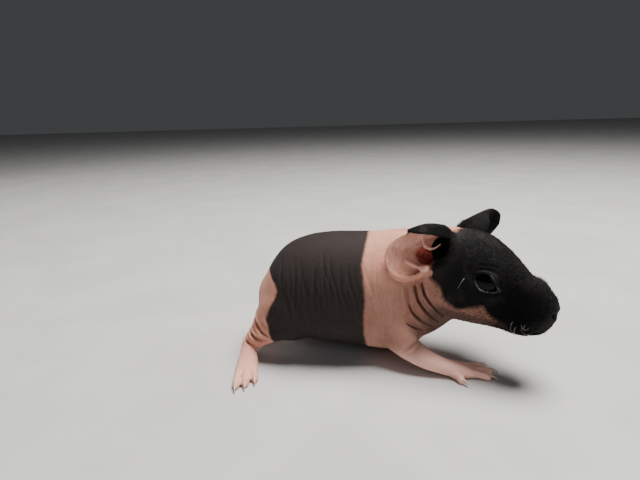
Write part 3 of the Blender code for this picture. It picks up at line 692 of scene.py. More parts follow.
# Folds as width, depth and a path. These are on the right of the neck and by the right arm, where
# the turned head gathers the skin.
NECK_FOLDS = (
    (0.42, 2.4, (28.6, -17.8, 39), (29.4, -16.8, 34.6), (30.6, -15.9, 31), (33.6, -15.8, 26.8),
     (37.6, -14.4, 22.4)),
    (0.46, 2.5, (26.2, -17.2, 37.6), (27, -16.4, 33), (28, -15.9, 28.8), (30.6, -15.5, 24.6),
     (35.6, -13.8, 19.2)),
    (0.44, 2.1, (24.5, -17, 27.4), (25.6, -15.9, 24.2), (28.8, -15, 20.4), (33.8, -12.8, 16.2)),
    (0.44, 1.7, (23.8, -17.2, 19.4), (26.6, -15.8, 17.2), (29.4, -13.8, 15.2), (32.4, -11.2, 12.8)),
    (0.8, 0.9, (23.4, -17.8, 35), (23.6, -17.4, 31), (24.4, -17, 26.8)),
)
FOLDED = (20, -24, 12), (38.5, -9, 40)  # box around the neck's folds
BODY_CREASES = (
    (0.7, 0.7, (22.4, -21, 9.2), (25, -20, 10.2), (27.6, -18.2, 11.8), (29.4, -15.6, 13.6)),
    (1.1, 0.4, (-19.8, -20.6, 30.5), (-18.6, -21.3, 25.5), (-16.4, -21.6, 20), (-12.8, -20.4, 15)),
    (1.1, 0.4, (-20.6, 20.6, 30.5), (-18.6, 21.3, 25), (-15.8, 21.4, 19.6), (-12.4, 20.4, 14.6)),
    (0.6, 1.3, (-37.6, -7.6, 19), (-39.4, -12, 18.2), (-37.6, -16.6, 15.4), (-34.2, -19.2, 13.4),
     (-30.4, -20.6, 12.8)),
    (0.6, 1.4, (-38, -8.2, 14.6), (-41, -12.4, 13.6), (-39.8, -16, 11.4), (-36.8, -18.4, 10.2),
     (-32.4, -20.2, 10.4)),
    (0.55, 1, (-40.6, -9.6, 9.4), (-42.6, -12.8, 9), (-41.6, -15.8, 7.4), (-38.6, -17.4, 6.8)),
    (0.6, 1.2, (-37.6, 13.4, 14.6), (-36.4, 16, 12.8), (-33, 17.6, 12.2), (-28.8, 18.4, 12.4)),
    (0.5, 0.9, (-37.8, 13.6, 9.8), (-36.2, 16.4, 8.6), (-32.6, 17.6, 8.4)),
    (0.5, 0.9, (4.4, 18.6, 12.8), (6.6, 20.4, 11.2), (9.2, 20.6, 10.4)),
)
# The rest is in the head frame, on both sides but for the philtrum. Swellings are place, reach
# and height.
EYE_CREASES = (
    (0.5, 0.16, (15.6, 12.2, 5), (18.6, 12.1, 7.6), (22.4, 10.9, 8.2), (26, 8.8, 6.6)),
    (0.5, 0.16, (15.2, 12, 7.2), (18.4, 11.6, 9.4), (22.6, 10.2, 9.8), (26.4, 8.2, 8)),
    (0.5, 0.16, (15.8, 13.2, -1), (18.2, 13, -3), (21.6, 12.2, -3.6), (25, 10.6, -2.6)),
)
FACE_SWELLS = (
    ((8, 14, -7), 13, 1),
    ((38, 7.5, -6), 6.5, 0.9),
    ((21, 10.5, 9.5), 7, 0.7),
    ((29.5, 9.5, 2), 7, -0.6),
)
NOSE_SWELLS = ((44, 2.4, -0.3), 2.6, 0.45), ((44.5, 1.4, -4.4), 1.8, 0.35)
MOUTH = 0.7, 1.5, (42.8, 0.2, -8), (41.3, 3.4, -9.2), (38.4, 6.2, -10.6), (35, 7.9, -11.6)
NOSTRIL = 0.6, 1.7, (44.4, 1.5, -2.8), (43.9, 2.6, -1.7), (42.9, 3.7, -1.9)
PHILTRUM = 0.5, 0.9, (44.6, 0, -3.4), (44, 0, -5.6), (42.8, 0, -7.9)


def shape_head(points, normal):
    """Works cheeks, brow, nose, mouth and eyes into the head, in the head frame."""
    for side in (-1, 1):
        points = swell(points, normal, FACE_SWELLS, side)
        points = groove(points, normal, MOUTH, 0.2, side)
        points = groove(points, normal, NOSTRIL, 0, side)
        points = swell(points, normal, NOSE_SWELLS, side)
        for crease in EYE_CREASES:
            points = groove(points, normal, crease, 0.3, side)
        points = open_eye(points, side)
    return groove(points, normal, PHILTRUM)


def flank_wrinkles(points, normal):
    """Fine upright wrinkles on both flanks."""
    draw = np.random.default_rng(7)
    for side in (-1, 1):
        flank = rise(points[:, 1] * side, 8, 7)
        for x in np.arange(-24, 19, 0.95):
            x += draw.uniform(-0.5, 0.5)
            middle, tall = draw.uniform(18, 37), draw.uniform(4, 11)
            lean, wave = draw.uniform(-0.22, -0.06), draw.uniform(0, 6)
            sway = 0.5 * np.sin(points[:, 2] / draw.uniform(2.4, 4) + wave)
            line = x + lean * (points[:, 2] - 30) + sway
            wide = draw.uniform(0.32, 0.6)
            deep = draw.uniform(0.12, 0.36) * (1 if x < 7 else 0.5)
            fade = rise(1.6 - np.abs(points[:, 2] - middle) / tall)
            cut = bell(points[:, 0] - line, wide)
            points = points - normal * (deep * cut * fade * flank)[:, None]
    return points


def body_form():
    """The forms of the body melted together, without feet, ears or detail."""
    pieces = [barrel(TORSO, 2.6, 3), barrel(NECK, 4, 4)]
    head = barrel(HEAD, 5, 4.4, 40)
    head.data.transform(HEAD_FRAME)
    pieces.append(head)
    for side in (-1, 1):
        at, radii = THIGH
        pieces.append(ball("thigh", mirrored(at, side), radii))
    pieces += [limb(rows) for rows in LIMBS]
    body = remesh(join("body", pieces), FORM_GRAIN)
    relax(body, 0.5 * (1 - 0.6 * fall(coords(body)[:, 2], 4, 5)), 10)
    return body


def make_skin():
    """One closed skin in body millimetres, the claws by foot, and the sheets of the ears."""
    body, claws, sheets = body_form(), {}, ear_sheets()
    for side in (-1, 1):
        hollow(body, side, *EAR_BOWL)
        hollow(body, side, *EAR_PIT)
    pieces = [body]
    for name, (at, heading, sole, toes) in FEET.items():
        side = -1 if name.endswith("right") else 1
        toes = [(x, y * side, angle * side, length, r) for x, y, angle, length, r in toes]
        made, claws[name] = foot(at, heading, sole, toes)
        pieces += made
    pieces += [ear_solid(grid, normal) for _, _, grid, normal in sheets]
    pieces += ear_ridges()
    skin = largest(remesh(join("skin", pieces), SKIN_GRAIN))
    points = coords(skin)
    feet = fall(points[:, 2], 4, 5)
    ears, *_ = ear_place(points, sheets)
    relax(skin, 0.5 - 0.25 * np.maximum(feet, ears), 8)

    for side in (-1, 1):
        local = in_eye(in_head(coords(skin)), side)
        refine(skin, (local[:, 2] > 2) & (eye_away(local) < 1.9))
    refine(skin, boxed(coords(skin), FOLDED))
    points, normal = coords(skin), normals(skin)
    shaped = in_body(shape_head(in_head(points), normal @ TO_HEAD[:3, :3].T))
    here = (in_head(points)[:, 0] > -6) & (points[:, 2] > 14)
    points = np.where(here[:, None], shaped, points)
    for fold in NECK_FOLDS + BODY_CREASES:
        points = groove(points, normal, fold, 0.4)
    points = flank_wrinkles(points, normal)
    height = points[:, 2]
    points[:, 2] = np.maximum(height - 0.5 * fall(height, 0.5, 4), 0)
    put(skin, points)
    return skin, claws, sheets


# ---- markings

# The dark saddle's edges: heights, and how far along the body the edge is there.
SADDLE_FRONT = (5, 17, 24, 30, 43, 51), (8.3, 7.5, 7.6, 8.2, 6.6, 8.2)
SADDLE_REAR = (
    (8, 13.8, 19.6, 26, 29.4, 31.6, 34, 37, 39.8, 44),
    (-28.5, -30.6, -32.3, -29.6, -27.6, -27.1, -28.2, -31.8, -37, -60),
)
# lines of the hind feet and ankles, which the saddle leaves bare
HIND_LINES = (
    ((-36.5, -12.5, 12), (-38.6, -15, 5), (-37.6, -28, 2.5), (-36.5, -40, 1.5)),
    ((-32.5, 13, 9), (-34, 13.5, 4.5), (-22, 15, 2.5), (-8, 17, 1.5)),
)
HIND_BARE = 6.2  # reach of the bare skin round those lines
# The black face's edges in the head frame: heights and places along the head of the back one,
# places along the head and heights of the lower one.
FACE_BACK = (-4, -2.3, 1.2, 3.9, 7, 12, 15.5), (4.6, 1.1, 0.8, 0.6, 1, 0.6, 2.6)
FACE_LOWER = (
    (1.1, 4, 7.2, 10.3, 14.8, 19.7, 22.7, 25.7, 31.5, 34, 36.5),
    (-2.3, -3.1, -4.2, -8.7, -10.3, -7.2, -5.5, -8.6, -10.8, -15, -24),
)
EAR_REACH = 2.4  # points farther than this from the sheet of an ear are off it


def ear_place(points, sheets):
    """Where each point lies on the ears, as one array each.

    1 on them; the side; 1 on the flap; from 0 at the lobe to 1 at the front; mm from the middle
    of the sheet into the cup.
    """
    local = in_head(points)
    found = np.zeros((4, len(points)))
    best = np.full(len(points), EAR_REACH)
    for kind, side, grid, normal in sheets:
        flat, flat_normal = grid.reshape(-1, 3), normal.reshape(-1, 3)
        tree = KDTree(len(flat))
        for i, p in enumerate(flat):
            tree.insert(p, i)
        tree.balance()
        row = grid.shape[1]
        for v in np.flatnonzero(boxed(local, flat, EAR_REACH)):
            _, i, gap = tree.find(local[v])
            if gap < best[v]:
                best[v] = gap
                deep = (local[v] - flat[i]) @ flat_normal[i]
                found[:, v] = side, kind == "flap", (i % row) / (row - 1), deep
    return fall(best, EAR_REACH / 2, EAR_REACH / 2), *found


def saddle(points):
    """How far each point lies inside the dark saddle, in mm."""
    x, y, z = points.T
    # away from the right flank the edges waver
    waver = 0.9 * np.sin(0.31 * y + 0.7) + 0.5 * np.sin(0.83 * y)
    front = np.interp(z, *SADDLE_FRONT) + waver * rise(y, 1, 8)
    rear = np.interp(z, *SADDLE_REAR) + waver * rise(y, -12, 8)
    legs = np.min([path_gap(points, line)[0] for line in HIND_LINES], 0)
    return np.min([front - x, x - rear, legs - HIND_BARE], 0)


def lid_shine(local):
    """The rims of the eyelids, paler, with painted highlights: strongest at a painted glint below
    the eye and a painted lit patch above it.
    """
    shine = np.zeros(len(local))
    for side in (-1, 1):
        lid = in_eye(local, side)
        along, up, out = lid.T
        away = eye_away(lid)
        lower = bell(away - 1.08, 0.06) * rise(0.1 - up) * rise(along, -4, 1.6)
        upper = bell(away - 1.2, 0.1) * rise(up + 0.5) * rise(along, -1, 1.8)
        glint = near(lid, (1, -3.2, 4.2), 3) * lower
        lit_patch = near(lid, (0.4, 2.8, 4.3), 4) * upper
        shine += (0.45 * lower + 0.3 * upper + 1.4 * glint + 1.5 * lit_patch) * (out > 0)
    return shine


def markings(points, ears):
    """Fields over the skin.

    dark is in mm inside the black. The others start at 0 and are 1 at their full. On bare skin: the
    paler skin with painted light, the painted shade under the head and in the folds, and the
    eyelids' paler rims with painted highlights. In the ears: paleness with painted light, veins, the
    bowl's redder flesh with painted shade, and the pit's dark skin with painted shade. velvet for
    short hair.
    """
    x, _, z = points.T
    local = in_head(points)
    hx, _, hz = local.T
    ear, ear_side, flap, ring, deep = ears
    on_ears, on_flap = ear > 0.5, flap > 0.5
    right = (ear_side < 0) & ~on_flap

    face = np.minimum(hx - np.interp(hz, *FACE_BACK), hz - np.interp(hx, *FACE_LOWER))
    behind = np.minimum(0.1 - 2.5 * deep, (ring - 0.62) * 40)
    pinna = np.where(right, np.maximum(behind, (ring - 0.88) * 40), 4)
    dark = np.where(on_ears, pinna, np.where(x > 15, face * 0.6, saddle(points)))

    canal, red = np.zeros((2, len(points)))
    for side in (-1, 1):
        # the pit: dark skin with painted shade in its hollow, and a halo of painted shade round it
        pit = in_hollow(local, side, *EAR_PIT)
        shade = 0.8 * fall(pit, 1, 1.1) * rise(dark / 1.5)
        canal = np.max([canal, fall(pit, 1.04, 0.14), shade], 0)
        # the bowl: redder flesh, darker with painted shade in the hollow
        red = np.maximum(red, fall(in_hollow(local, side, *EAR_BOWL), 1, 0.6))
    paws = fall(z, 4.5, 8.5)
    ahead = rise(x, 15, 8)
    rump = 0.25 * rise((-31 - x) / 4) * rise(z, 14, 8)
    # paler skin on the paws and rump; on the forearm and hand, which lie in the head's shadow, and
    # on the ears it is painted light
    pallor_and_light = ahead * fall(z, 6, 9) + (1 - ahead) * 0.3 * paws + rump + 0.12 * on_ears

    cup = ear * rise(deep + 0.5) * right * fall(ring, 0.6, 0.15)
    veins = cup * (1 - red)
    outside = on_ears & ((deep < 0.2) | on_flap)
    # paleness of the cup, a paler spot and the ridges; the upper cup gets painted light that lifts
    # it out of the flap's shadow
    pale_and_lit = cup * (0.08 + 0.85 * rise(hz, 3, 6)) + 0.8 * near(local, (-6.4, -12.2, 10), 5.6)
    pale_and_lit = pale_and_lit * (1 - red) * ~outside
    for side, ridges in EAR_RIDGES.items():
        for ridge in ridges:
            path, radii = ridge_path(ridge, side)
            part = boxed(local, path, 2)
            gap, where = path_gap(local[part], path)
            radius = np.interp(where, np.linspace(0, 1, len(radii)), radii)
            along = fall((gap - radius + 0.1) / 0.5) * (0.8 if side < 0 else 0.2)
            pale_and_lit[part] = np.maximum(pale_and_lit[part], along)
            dark[part] = dark[part] * (1 - along) - 4 * along
            canal[part] *= 1 - along
            red[part] *= 1 - along

    # painted shade below the head: darkest on the throat and the jaw, in its shadow, then on the
    # neck and shoulder
    under = rise((30 - z) / 12) * rise(x, 20, 14)
    jaw = rise((-8.5 - hz) / 6) * rise(hx, 2, 10)
    shade_under_head = 0.48 * rise(x, 2, 8) * rise((44 - z) / 12) + 0.3 * under + 0.75 * jaw
    return {
        "dark": np.clip(dark, -8, 8),
        "pallor_and_light": np.clip(pallor_and_light, 0, 1),
        "shade_under_head": np.clip(shade_under_head, 0, 1) * (1 - paws) * ~on_ears,
        "pale_and_lit": np.clip(pale_and_lit, 0, 1),
        "canal": canal,
        "veins": veins,
        "red": red,
        "lid_rims_and_highlights": lid_shine(local),
        "crease": crease_shade_field(points),
        "velvet": np.where(on_ears, 1, rise(hx, 1, 9) * (x > 15)),
    }


# ---- hair

HAIR_ROOT = 0.1  # how far hairs start under the skin
HAIR_PATCH = 0.0015  # half the width of a hair on the unwrap


def spikes(name, roots, ways, bends, lengths, radius, segments=2):
    """Thin closed hairs, three-sided: each root, direction, bend towards and length."""
    ways = unit(ways)
    side = unit(np.cross(ways, bends))
    other = np.cross(ways, side)
    verts = []
    for k in range(segments):
        s = k / segments
        centre = roots + ways * (lengths * s)[:, None] + bends * (lengths * s**2)[:, None]
        for j in range(3):
            angle = 2 * math.pi * j / 3
            ring = side * math.cos(angle) + other * math.sin(angle)
            verts.append(centre + ring * (radius * (1 - 0.45 * s)))
    verts.append(roots + ways * lengths[:, None] + bends * lengths[:, None])
    per, last = len(verts), len(verts) - 4
    pattern = [(0, 2, 1)]
    for low in range(0, last, 3):
        for a, b in ((low, low + 1), (low + 1, low + 2), (low + 2, low)):
            pattern += [(a, b, b + 3), (a, b + 3, a + 3)]
    pattern += [(last + j, last + (j + 1) % 3, per - 1) for j in range(3)]
    faces = np.arange(len(roots))[:, None, None] * per + np.array(pattern)
    mesh = bpy.data.meshes.new(name)
    mesh.from_pydata(np.stack(verts, 1).reshape(-1, 3).tolist(), [], faces.reshape(-1, 3).tolist())
    obj = new_object(name, mesh)
    unwrap_hairs(obj, roots, per)
    return obj


def unwrap_hairs(obj, roots, per):
    """OFBake: each hair is a small patch at its root's place on an unwrap of the head.

    The unwrap is that of a barrel. There is one root for every so many vertices.
    """
    local = in_head(roots)
    u = 0.05 + 0.9 * (np.arctan2(local[:, 1], local[:, 2] + 3) / (2 * math.pi) + 0.5)
    v = 0.05 + 0.9 * np.clip((local[:, 0] + 20) / 70, 0, 1)
    turn = np.arange(len(roots) * per) * 2.4
    corner = np.stack([np.cos(turn), np.sin(turn)], 1) * HAIR_PATCH
    places = np.repeat(np.stack([u, v], 1), per, 0) + corner
    layer = obj.data.uv_layers.new(name="OFBake")
    corners = values(obj.data.loops, "vertex_index", 1, int)
    layer.data.foreach_set("uv", places[corners].reshape(-1))


def scatter(skin, weight, count, seed):
    """Places on the skin drawn by area times a weight per vertex, with their normals."""
    skin.data.calc_loop_triangles()
    tris = values(skin.data.loop_triangles, "vertices", 3, int)
    points, normal = coords(skin), normals(skin)
    a, b, c = (points[tris[:, k]] for k in range(3))
    share = np.linalg.norm(np.cross(b - a, c - a), axis=1) * weight[tris].mean(1)
    draw = np.random.default_rng(seed)
    pick = draw.choice(len(tris), count, p=share / share.sum())
    r, s = draw.random(count), draw.random(count)
    over = r + s > 1
    r[over], s[over] = 1 - r[over], 1 - s[over]
    place = a[pick] + (b[pick] - a[pick]) * r[:, None] + (c[pick] - a[pick]) * s[:, None]
    return place, normal[tris[pick]].mean(1), draw


def swept(draw, normal, slope, lift, astray, curl, curl_astray):
    """Directions and bends of hairs laid back along the head, each a little astray."""
    back = TO_BODY[:3, :3] @ np.array((-1, 0, slope))
    ways = back + normal * lift[:, None] + draw.normal(0, astray, normal.shape)
    bends = (back - normal * 0.5) * curl + draw.normal(0, curl_astray, normal.shape)
    return ways, bends


def make_fuzz(skin, name, start, count, seed):
    """Short black hair, thickening from the start, in mm along the head, to the nose."""
    local = in_head(coords(skin))
    clear = np.ones(len(local))
    for side in (-1, 1):
        clear = np.minimum(clear, rise(eye_away(in_eye(local, side)), 1.7, 0.8))
    nose = rise((46.2 - local[:, 0]) / 1.6)
    top = 0.35 + 0.65 * rise(local[:, 2], -14, 12)
    inside = (local[:, 0] > start) & (coords(skin)[:, 2] > 12)
    weight = inside * (0.02 + rise(local[:, 0], start, 22)) * clear * nose * top
    roots, normal, draw = scatter(skin, weight, count, seed)
    along, _, up = in_head(roots).T
    crest = bell(along - 37, 3.2) * rise(up, 0.5, 4)
    long = (0.85 + 0.4 * rise(along, 12, 20) + 1.7 * crest) * draw.uniform(0.6, 1.3, count)
    lift = 0.65 + 0.85 * crest + draw.uniform(-0.1, 0.25, count)
    ways, bends = swept(draw, normal, 0.12, lift, 0.22, 0.22, 0.06)
    return spikes(name, roots - normal * HAIR_ROOT, ways, bends, long, 0.05)


def make_fringe(skin, fields, count, seed):
    """Short black hair that breaks the edge of the black face and the front of the ears' pits."""
    points = coords(skin)
    along = in_head(points)[:, 0]
    edge = bell(fields["dark"] - 0.5, 0.6) * (points[:, 0] > 15)
    on_head = (along > -2) & ((fields["velvet"] < 0.99) | (along > 10))
    rim = (fields["canal"] > 0.15) & (fields["canal"] < 0.85) & (fields["dark"] > 0)
    roots, normal, draw = scatter(skin, edge * on_head + 2 * rim, count, seed)
    ways, bends = swept(draw, normal, -0.15, draw.uniform(0.15, 0.5, count), 0.3, 0.2, 0.08)
    long = draw.uniform(0.7, 1.7, count)
    return spikes("face_fringe", roots - normal * HAIR_ROOT, ways, bends, long, 0.045)


# Whiskers of one side, as places in the head frame from root to tip; the last is behind the eye.
WHISKERS = (
    ((33.9, 6.8, -6), (33.1, 9, -7.4), (33.2, 10, -8.7), (33.6, 10, -10.1), (34.6, 9.5, -11.1)),
    ((37.8, 6, -5.8), (38.5, 8, -7.2), (38.1, 9, -8.1), (37.2, 9.6, -8), (36.3, 9.6, -7.1),
     (35.9, 9.2, -6.5)),
    ((35.8, 6.6, -9.8), (37.8, 8.4, -10), (39.4, 8.6, -9.3), (40.1, 8.4, -8.6)),
    ((36.3, 6.6, -5.4), (37.1, 8.4, -6.1), (37.3, 9.6, -7.2), (36.8, 10.2, -8.4)),
    ((34.8, 7, -8.4), (34.6, 9.6, -9.6), (35.6, 10.8, -10.9), (37.4, 10.6, -11.4)),
    ((14, 14.2, 2.6), (13.9, 15.2, 1.6), (13.7, 15.8, 0.2), (13.4, 15.9, -1.4)),
)


def make_whiskers():
    """Pale curled whiskers by the mouth, and a long hair behind each eye."""
    made, roots = [], []
    for side in (-1, 1):
        for path in WHISKERS:
            at = in_body(carry(mirrored(path, side), 3))
            radius = 0.085 * (1 - 0.7 * np.linspace(0, 1, len(at)))
            stations = np.column_stack([at, radius, radius])
            hair = limb(stations, (0.1, 0.3, 0.95), sides=6, steps=2)
            roots += [at[0]] * len(hair.data.vertices)
            made.append(hair)
    obj = join("whiskers", made)
    unwrap_hairs(obj, np.array(roots), 1)
    return obj


# ---- materials


class Paint:
    """A material and short ways to add and join its nodes."""

    def __init__(self, name):
        self.material = bpy.data.materials.new(name)
        self.material.use_nodes = True
        self.tree = self.material.node_tree
        self.shader = self.tree.nodes["Principled BSDF"]

    def node(self, kind, settings=None, *first, **sockets):
        """A new node: its settings, what its first sockets get in turn, and others by name."""
        made = self.tree.nodes.new("ShaderNode" + kind)
        for key, value in (settings or {}).items():
            setattr(made, key, value)
        for socket, value in zip(made.inputs, first):
            self.feed(socket, value)
        for key, value in sockets.items():
            self.feed(made.inputs[key.replace("_", " ")], value)
        return made

    def feed(self, socket, value):
        if isinstance(value, bpy.types.NodeSocket):
            self.tree.links.new(value, socket)
        else:
            socket.default_value = value

    def math(self, operation, first, second=0, clamp=False):
        settings = {"operation": operation, "use_clamp": clamp}
        return self.node("Math", settings, first, second).outputs[0]

    def ramp(self, value, low, high, to_low=0, to_high=1):
        settings = {"clamp": True, "interpolation_type": "SMOOTHSTEP"}
        return self.node("MapRange", settings, value, low, high, to_low, to_high).outputs[0]

    def mix(self, share, first, second):
        made = self.node("Mix", {"data_type": "RGBA"}, share)
        self.feed(made.inputs[6], first)
        self.feed(made.inputs[7], second)
        return made.outputs[2]

    def field(self, name):
        return self.node("Attribute", {"attribute_name": name}).outputs["Fac"]

    def noise(self, per_mm, detail=3, stretch=(1, 1, 1)):
        place = self.node("TexCoord").outputs["Object"]
        scale = tuple(per_mm * s / MM for s in stretch)
        place = self.node("Mapping", Vector=place, Scale=scale).outputs[0]
        made = self.node("TexNoise", Vector=place, Scale=1, Detail=detail, Roughness=0.55)
        return made.outputs["Fac"]

    def bump(self, height, strength, distance, **under):
        made = self.node("Bump", Height=height, Strength=strength, Distance=distance, **under)
        return made.outputs[0]

    def set(self, **sockets):
        for key, value in sockets.items():
            self.feed(self.shader.inputs[key.replace("_", " ")], value)
        return self.material

    def flesh(self, share, radii, depth):
        """Light soaks in, to the depth in mm times the radius of each colour."""
        scale = depth * MM
        return self.set(Subsurface_Weight=share, Subsurface_Radius=radii, Subsurface_Scale=scale)


def srgb(red, green, blue):
    """sRGB from 0 to 255, as a linear colour."""
    return tuple(((c / 255 + 0.055) / 1.055) ** 2.4 for c in (red, green, blue)) + (1,)


def skin_material():
    p = Paint("bare_skin")
    blotch = p.noise(0.09, 4)
    speckle = p.noise(0.7, 3)
    fine = p.noise(2.6, 2)
    edge = p.math("ADD", p.noise(0.6, 3), -0.5)
    dark = p.ramp(p.math("ADD", p.field("dark"), edge), -0.8, 0.8)
    pink = p.mix(p.ramp(blotch, 0.35, 0.7), srgb(206, 150, 130), srgb(192, 132, 112))
    pink = p.mix(p.ramp(speckle, 0.5, 0.85), pink, srgb(176, 116, 98))
    # paler pink of paws and rump, with painted light on forearm, hand and ears
    pink = p.mix(p.field("pallor_and_light"), pink, srgb(253, 198, 182))
    # painted shade under the head
    pink = p.mix(p.field("shade_under_head"), pink, srgb(98, 74, 66))
    # painted shade in the folds
    pink = p.mix(p.field("crease"), pink, srgb(90, 56, 46))
    # the ear's bowl: redder flesh with painted shade in its hollow
    flesh = p.mix(p.ramp(p.noise(0.9, 2), 0.35, 0.6), srgb(112, 44, 36), srgb(176, 84, 70))
    pink = p.mix(p.field("red"), pink, flesh)
    black = p.mix(p.ramp(speckle, 0.3, 0.75), srgb(40, 34, 33), srgb(49, 42, 40))
    black = p.mix(p.ramp(fine, 0.55, 0.8), black, srgb(58, 50, 47))
    nap = p.ramp(p.noise(2.2, 3, (0.5, 1.4, 1.4)), 0.4, 0.72)
    fur = p.mix(nap, srgb(4, 4, 4), srgb(14, 12, 12))
    # painted sheen: lighter patches that stand in for light on the fur
    sheen = p.math("MULTIPLY", p.ramp(p.noise(0.16, 4), 0.5, 0.72), 0.55)
    fur = p.mix(sheen, fur, srgb(48, 43, 42))
    black = p.mix(p.field("velvet"), black, fur)
    base = p.mix(dark, pink, black)
    # paleness in the ears, with painted light on the upper cup
    mottle = p.ramp(p.noise(0.45, 3), 0.35, 0.65)
    pallor = p.mix(mottle, srgb(250, 204, 190), srgb(236, 172, 156))
    base = p.mix(p.field("pale_and_lit"), base, pallor)
    branch = p.math("ABSOLUTE", p.math("ADD", p.noise(0.34, 2), -0.5))
    vein = p.math("MULTIPLY", p.ramp(branch, 0, 0.03, 0.4, 0), p.field("veins"))
    base = p.mix(vein, base, srgb(150, 80, 70))
    patchy = p.ramp(p.noise(1.3, 2), 0.36, 0.62, 0.35, 1.15)
    # rims of the eyelids: paler skin with painted highlights
    base = p.mix(p.math("MULTIPLY", p.field("lid_rims_and_highlights"), patchy, True), base, srgb(160, 151, 146))
    # the ear's pit: dark skin with painted shade
    base = p.mix(p.field("canal"), base, srgb(10, 6, 6))
    rough = p.ramp(speckle, 0.2, 0.8, 0.66, 0.82)
    pores = p.bump(p.noise(3.2, 2), 0.35, 0.05 * MM)
    pile = p.math("MULTIPLY", p.noise(2.4, 3, (0.5, 1.4, 1.4)), p.field("velvet"))
    pores = p.bump(pile, 0.7, 0.35 * MM, Normal=pores)
    creases = p.bump(p.noise(1.1, 4, (1.6, 1, 0.28)), 0.55, 0.16 * MM, Normal=pores)
    p.set(Base_Color=base, Roughness=rough, Normal=creases, Specular_IOR_Level=0.15)
    return p.flesh(0.05, (1, 0.42, 0.25), 0.8)


def eye_material():
    p = Paint("wet_eye")
    place = p.node("TexCoord").outputs["Generated"]
    streaks = p.node("TexNoise", Vector=place, Scale=22, Detail=3).outputs["Fac"]
    base = p.mix(p.ramp(streaks, 0.4, 0.7), srgb(5, 4, 4), srgb(12, 8, 8))
    return p.set(Base_Color=base, Roughness=0.07, Specular_IOR_Level=0.09)


def claw_material():
    p = Paint("claw_horn")
    grain = p.noise(1.5, 3, (1, 1, 3))
    base = p.mix(p.ramp(grain, 0.35, 0.7), srgb(226, 196, 178), srgb(190, 150, 134))
    p.set(Base_Color=base, Roughness=0.32, Normal=p.bump(grain, 0.3, 0.04 * MM))
    return p.flesh(0.2, (1, 0.6, 0.5), 0.5)


def hair_material(name, first, second, rough):
    p = Paint(name)
    base = p.mix(p.ramp(p.noise(0.8, 2), 0.35, 0.65), first, second)
    return p.set(Base_Color=base, Roughness=rough, Specular_IOR_Level=0.2)


def floor_material():
    p = Paint("pale_floor")
    base = p.mix(p.ramp(p.noise(0.02, 3), 0.4, 0.6), (0.5, 0.5, 0.495, 1), (0.54, 0.54, 0.535, 1))
    return p.set(Base_Color=base, Roughness=0.85)


# ---- into the frame

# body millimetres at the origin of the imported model, from where its right eye lies
low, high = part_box("eye_right")
ORIGIN = in_body(mirrored(EYE_AT, -1)) - np.array((low + high) / 2) / MM
TO_FRAME = Matrix.Scale(MM, 4) @ Matrix.Translation(-Vector(ORIGIN))


def deliver(obj, material, nodes=()):
    """Metres, smooth shading, material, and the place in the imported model."""
    obj.data.transform(TO_FRAME)
    obj.data.polygons.foreach_set("use_smooth", [True] * len(obj.data.polygons))
    obj.data.materials.append(material)
    obj.data.update()
    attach(obj, "root")
    if nodes:
        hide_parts(*nodes)


def make_eye(side, word):
    """The eyeball with the cornea's slight bulge."""
    eye = ball("eyeball_" + word, (0, 0, 0), (1, 1, 1))
    points = coords(eye) * EYE_RADIUS
    ahead = points @ eye_frame(side)[:, 2] / EYE_RADIUS
    points = points * (1 - CORNEA + CORNEA * rise(ahead, 0.6, 0.3))[:, None]
    put(eye, in_body(points + mirrored(EYE_AT, side)))
    return eye


# ---- stage

CAMERA_AT = (20.5, -185.3, 100)  # body millimetres
CAMERA_PITCH = 15.51  # degrees below the horizon
CAMERA_HEADING = 10
CAMERA_ROLL = -1.88
LENS, SENSOR = 26.16, 36  # millimetres
FLOOR_WIDE = 6  # metres
LIT_AT = Vector((0, 0, 0.03))  # where the lamps point to
# name, place in metres, size, power, tint
LAMPS = (
    ("key", (0.16, 0.1, 0.8), 0.5, 17.5, (1, 0.98, 0.95)),
    ("fill", (0.6, -0.7, 0.4), 0.6, 1.5, (0.98, 0.98, 1)),
    ("rim", (-0.7, 0.3, 0.45), 0.5, 0.8, (1, 0.98, 0.95)),
)


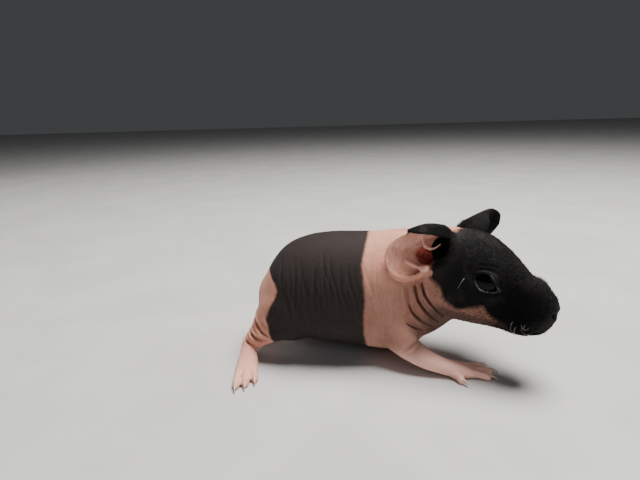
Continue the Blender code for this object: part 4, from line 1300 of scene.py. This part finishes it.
def stage():
    bpy.ops.mesh.primitive_plane_add(size=FLOOR_WIDE)
    floor = bpy.context.object
    floor.name = "floor"
    floor.data.materials.append(floor_material())
    world = bpy.data.worlds.new("studio")
    world.use_nodes = True
    sky = world.node_tree.nodes["Background"]
    sky.inputs["Color"].default_value = (0.9, 0.92, 0.95, 1)
    sky.inputs["Strength"].default_value = 0.06
    bpy.context.scene.world = world
    for name, at, size, power, tint in LAMPS:
        lamp = bpy.data.lights.new(name, "AREA")
        lamp.shape = "DISK"
        lamp.size, lamp.energy, lamp.color = size, power, tint
        obj = new_object(name, lamp)
        obj.location = at
        obj.rotation_euler = (LIT_AT - Vector(at)).to_track_quat("-Z", "Y").to_euler()


def camera():
    data = bpy.data.cameras.new("camera")
    data.sensor_width, data.lens = SENSOR, LENS
    data.clip_start, data.clip_end = 0.01, 20
    obj = new_object("camera", data)
    roll = Matrix.Rotation(math.radians(CAMERA_ROLL), 4, "Z")
    look = turned((90 - CAMERA_PITCH, 0, CAMERA_HEADING)) @ roll
    obj.matrix_world = Matrix.Translation(TO_FRAME @ Vector(CAMERA_AT)) @ look
    bpy.context.scene.camera = obj


# ---- the animal

stage()
camera()
skin, claws, sheets = make_skin()
fields = markings(coords(skin), ear_place(coords(skin), sheets))
for name, amounts in fields.items():
    layer = skin.data.attributes.new(name, "FLOAT", "POINT")
    layer.data.foreach_set("value", np.ascontiguousarray(amounts, np.float32))
coat = [make_fuzz(skin, "muzzle_fur", 14, 18000, 11), make_fuzz(skin, "head_fur", 1, 18000, 12)]
coat.append(make_fringe(skin, fields, 9000, 13))
whiskers = make_whiskers()
deliver(skin, skin_material(), NODES_OF_FLESH)
for side, word in ((-1, "right"), (1, "left")):
    deliver(make_eye(side, word), eye_material(), ["eye_" + word])
horn = claw_material()
for name, nails in claws.items():
    deliver(join("claws_" + name, nails), horn)
black_hair = hair_material("black_hair", srgb(12, 10, 10), srgb(24, 20, 20), 0.65)
for fur in coat:
    deliver(fur, black_hair)
pale_hair = hair_material("pale_hair", srgb(176, 170, 160), srgb(140, 134, 126), 0.45)
deliver(whiskers, pale_hair)
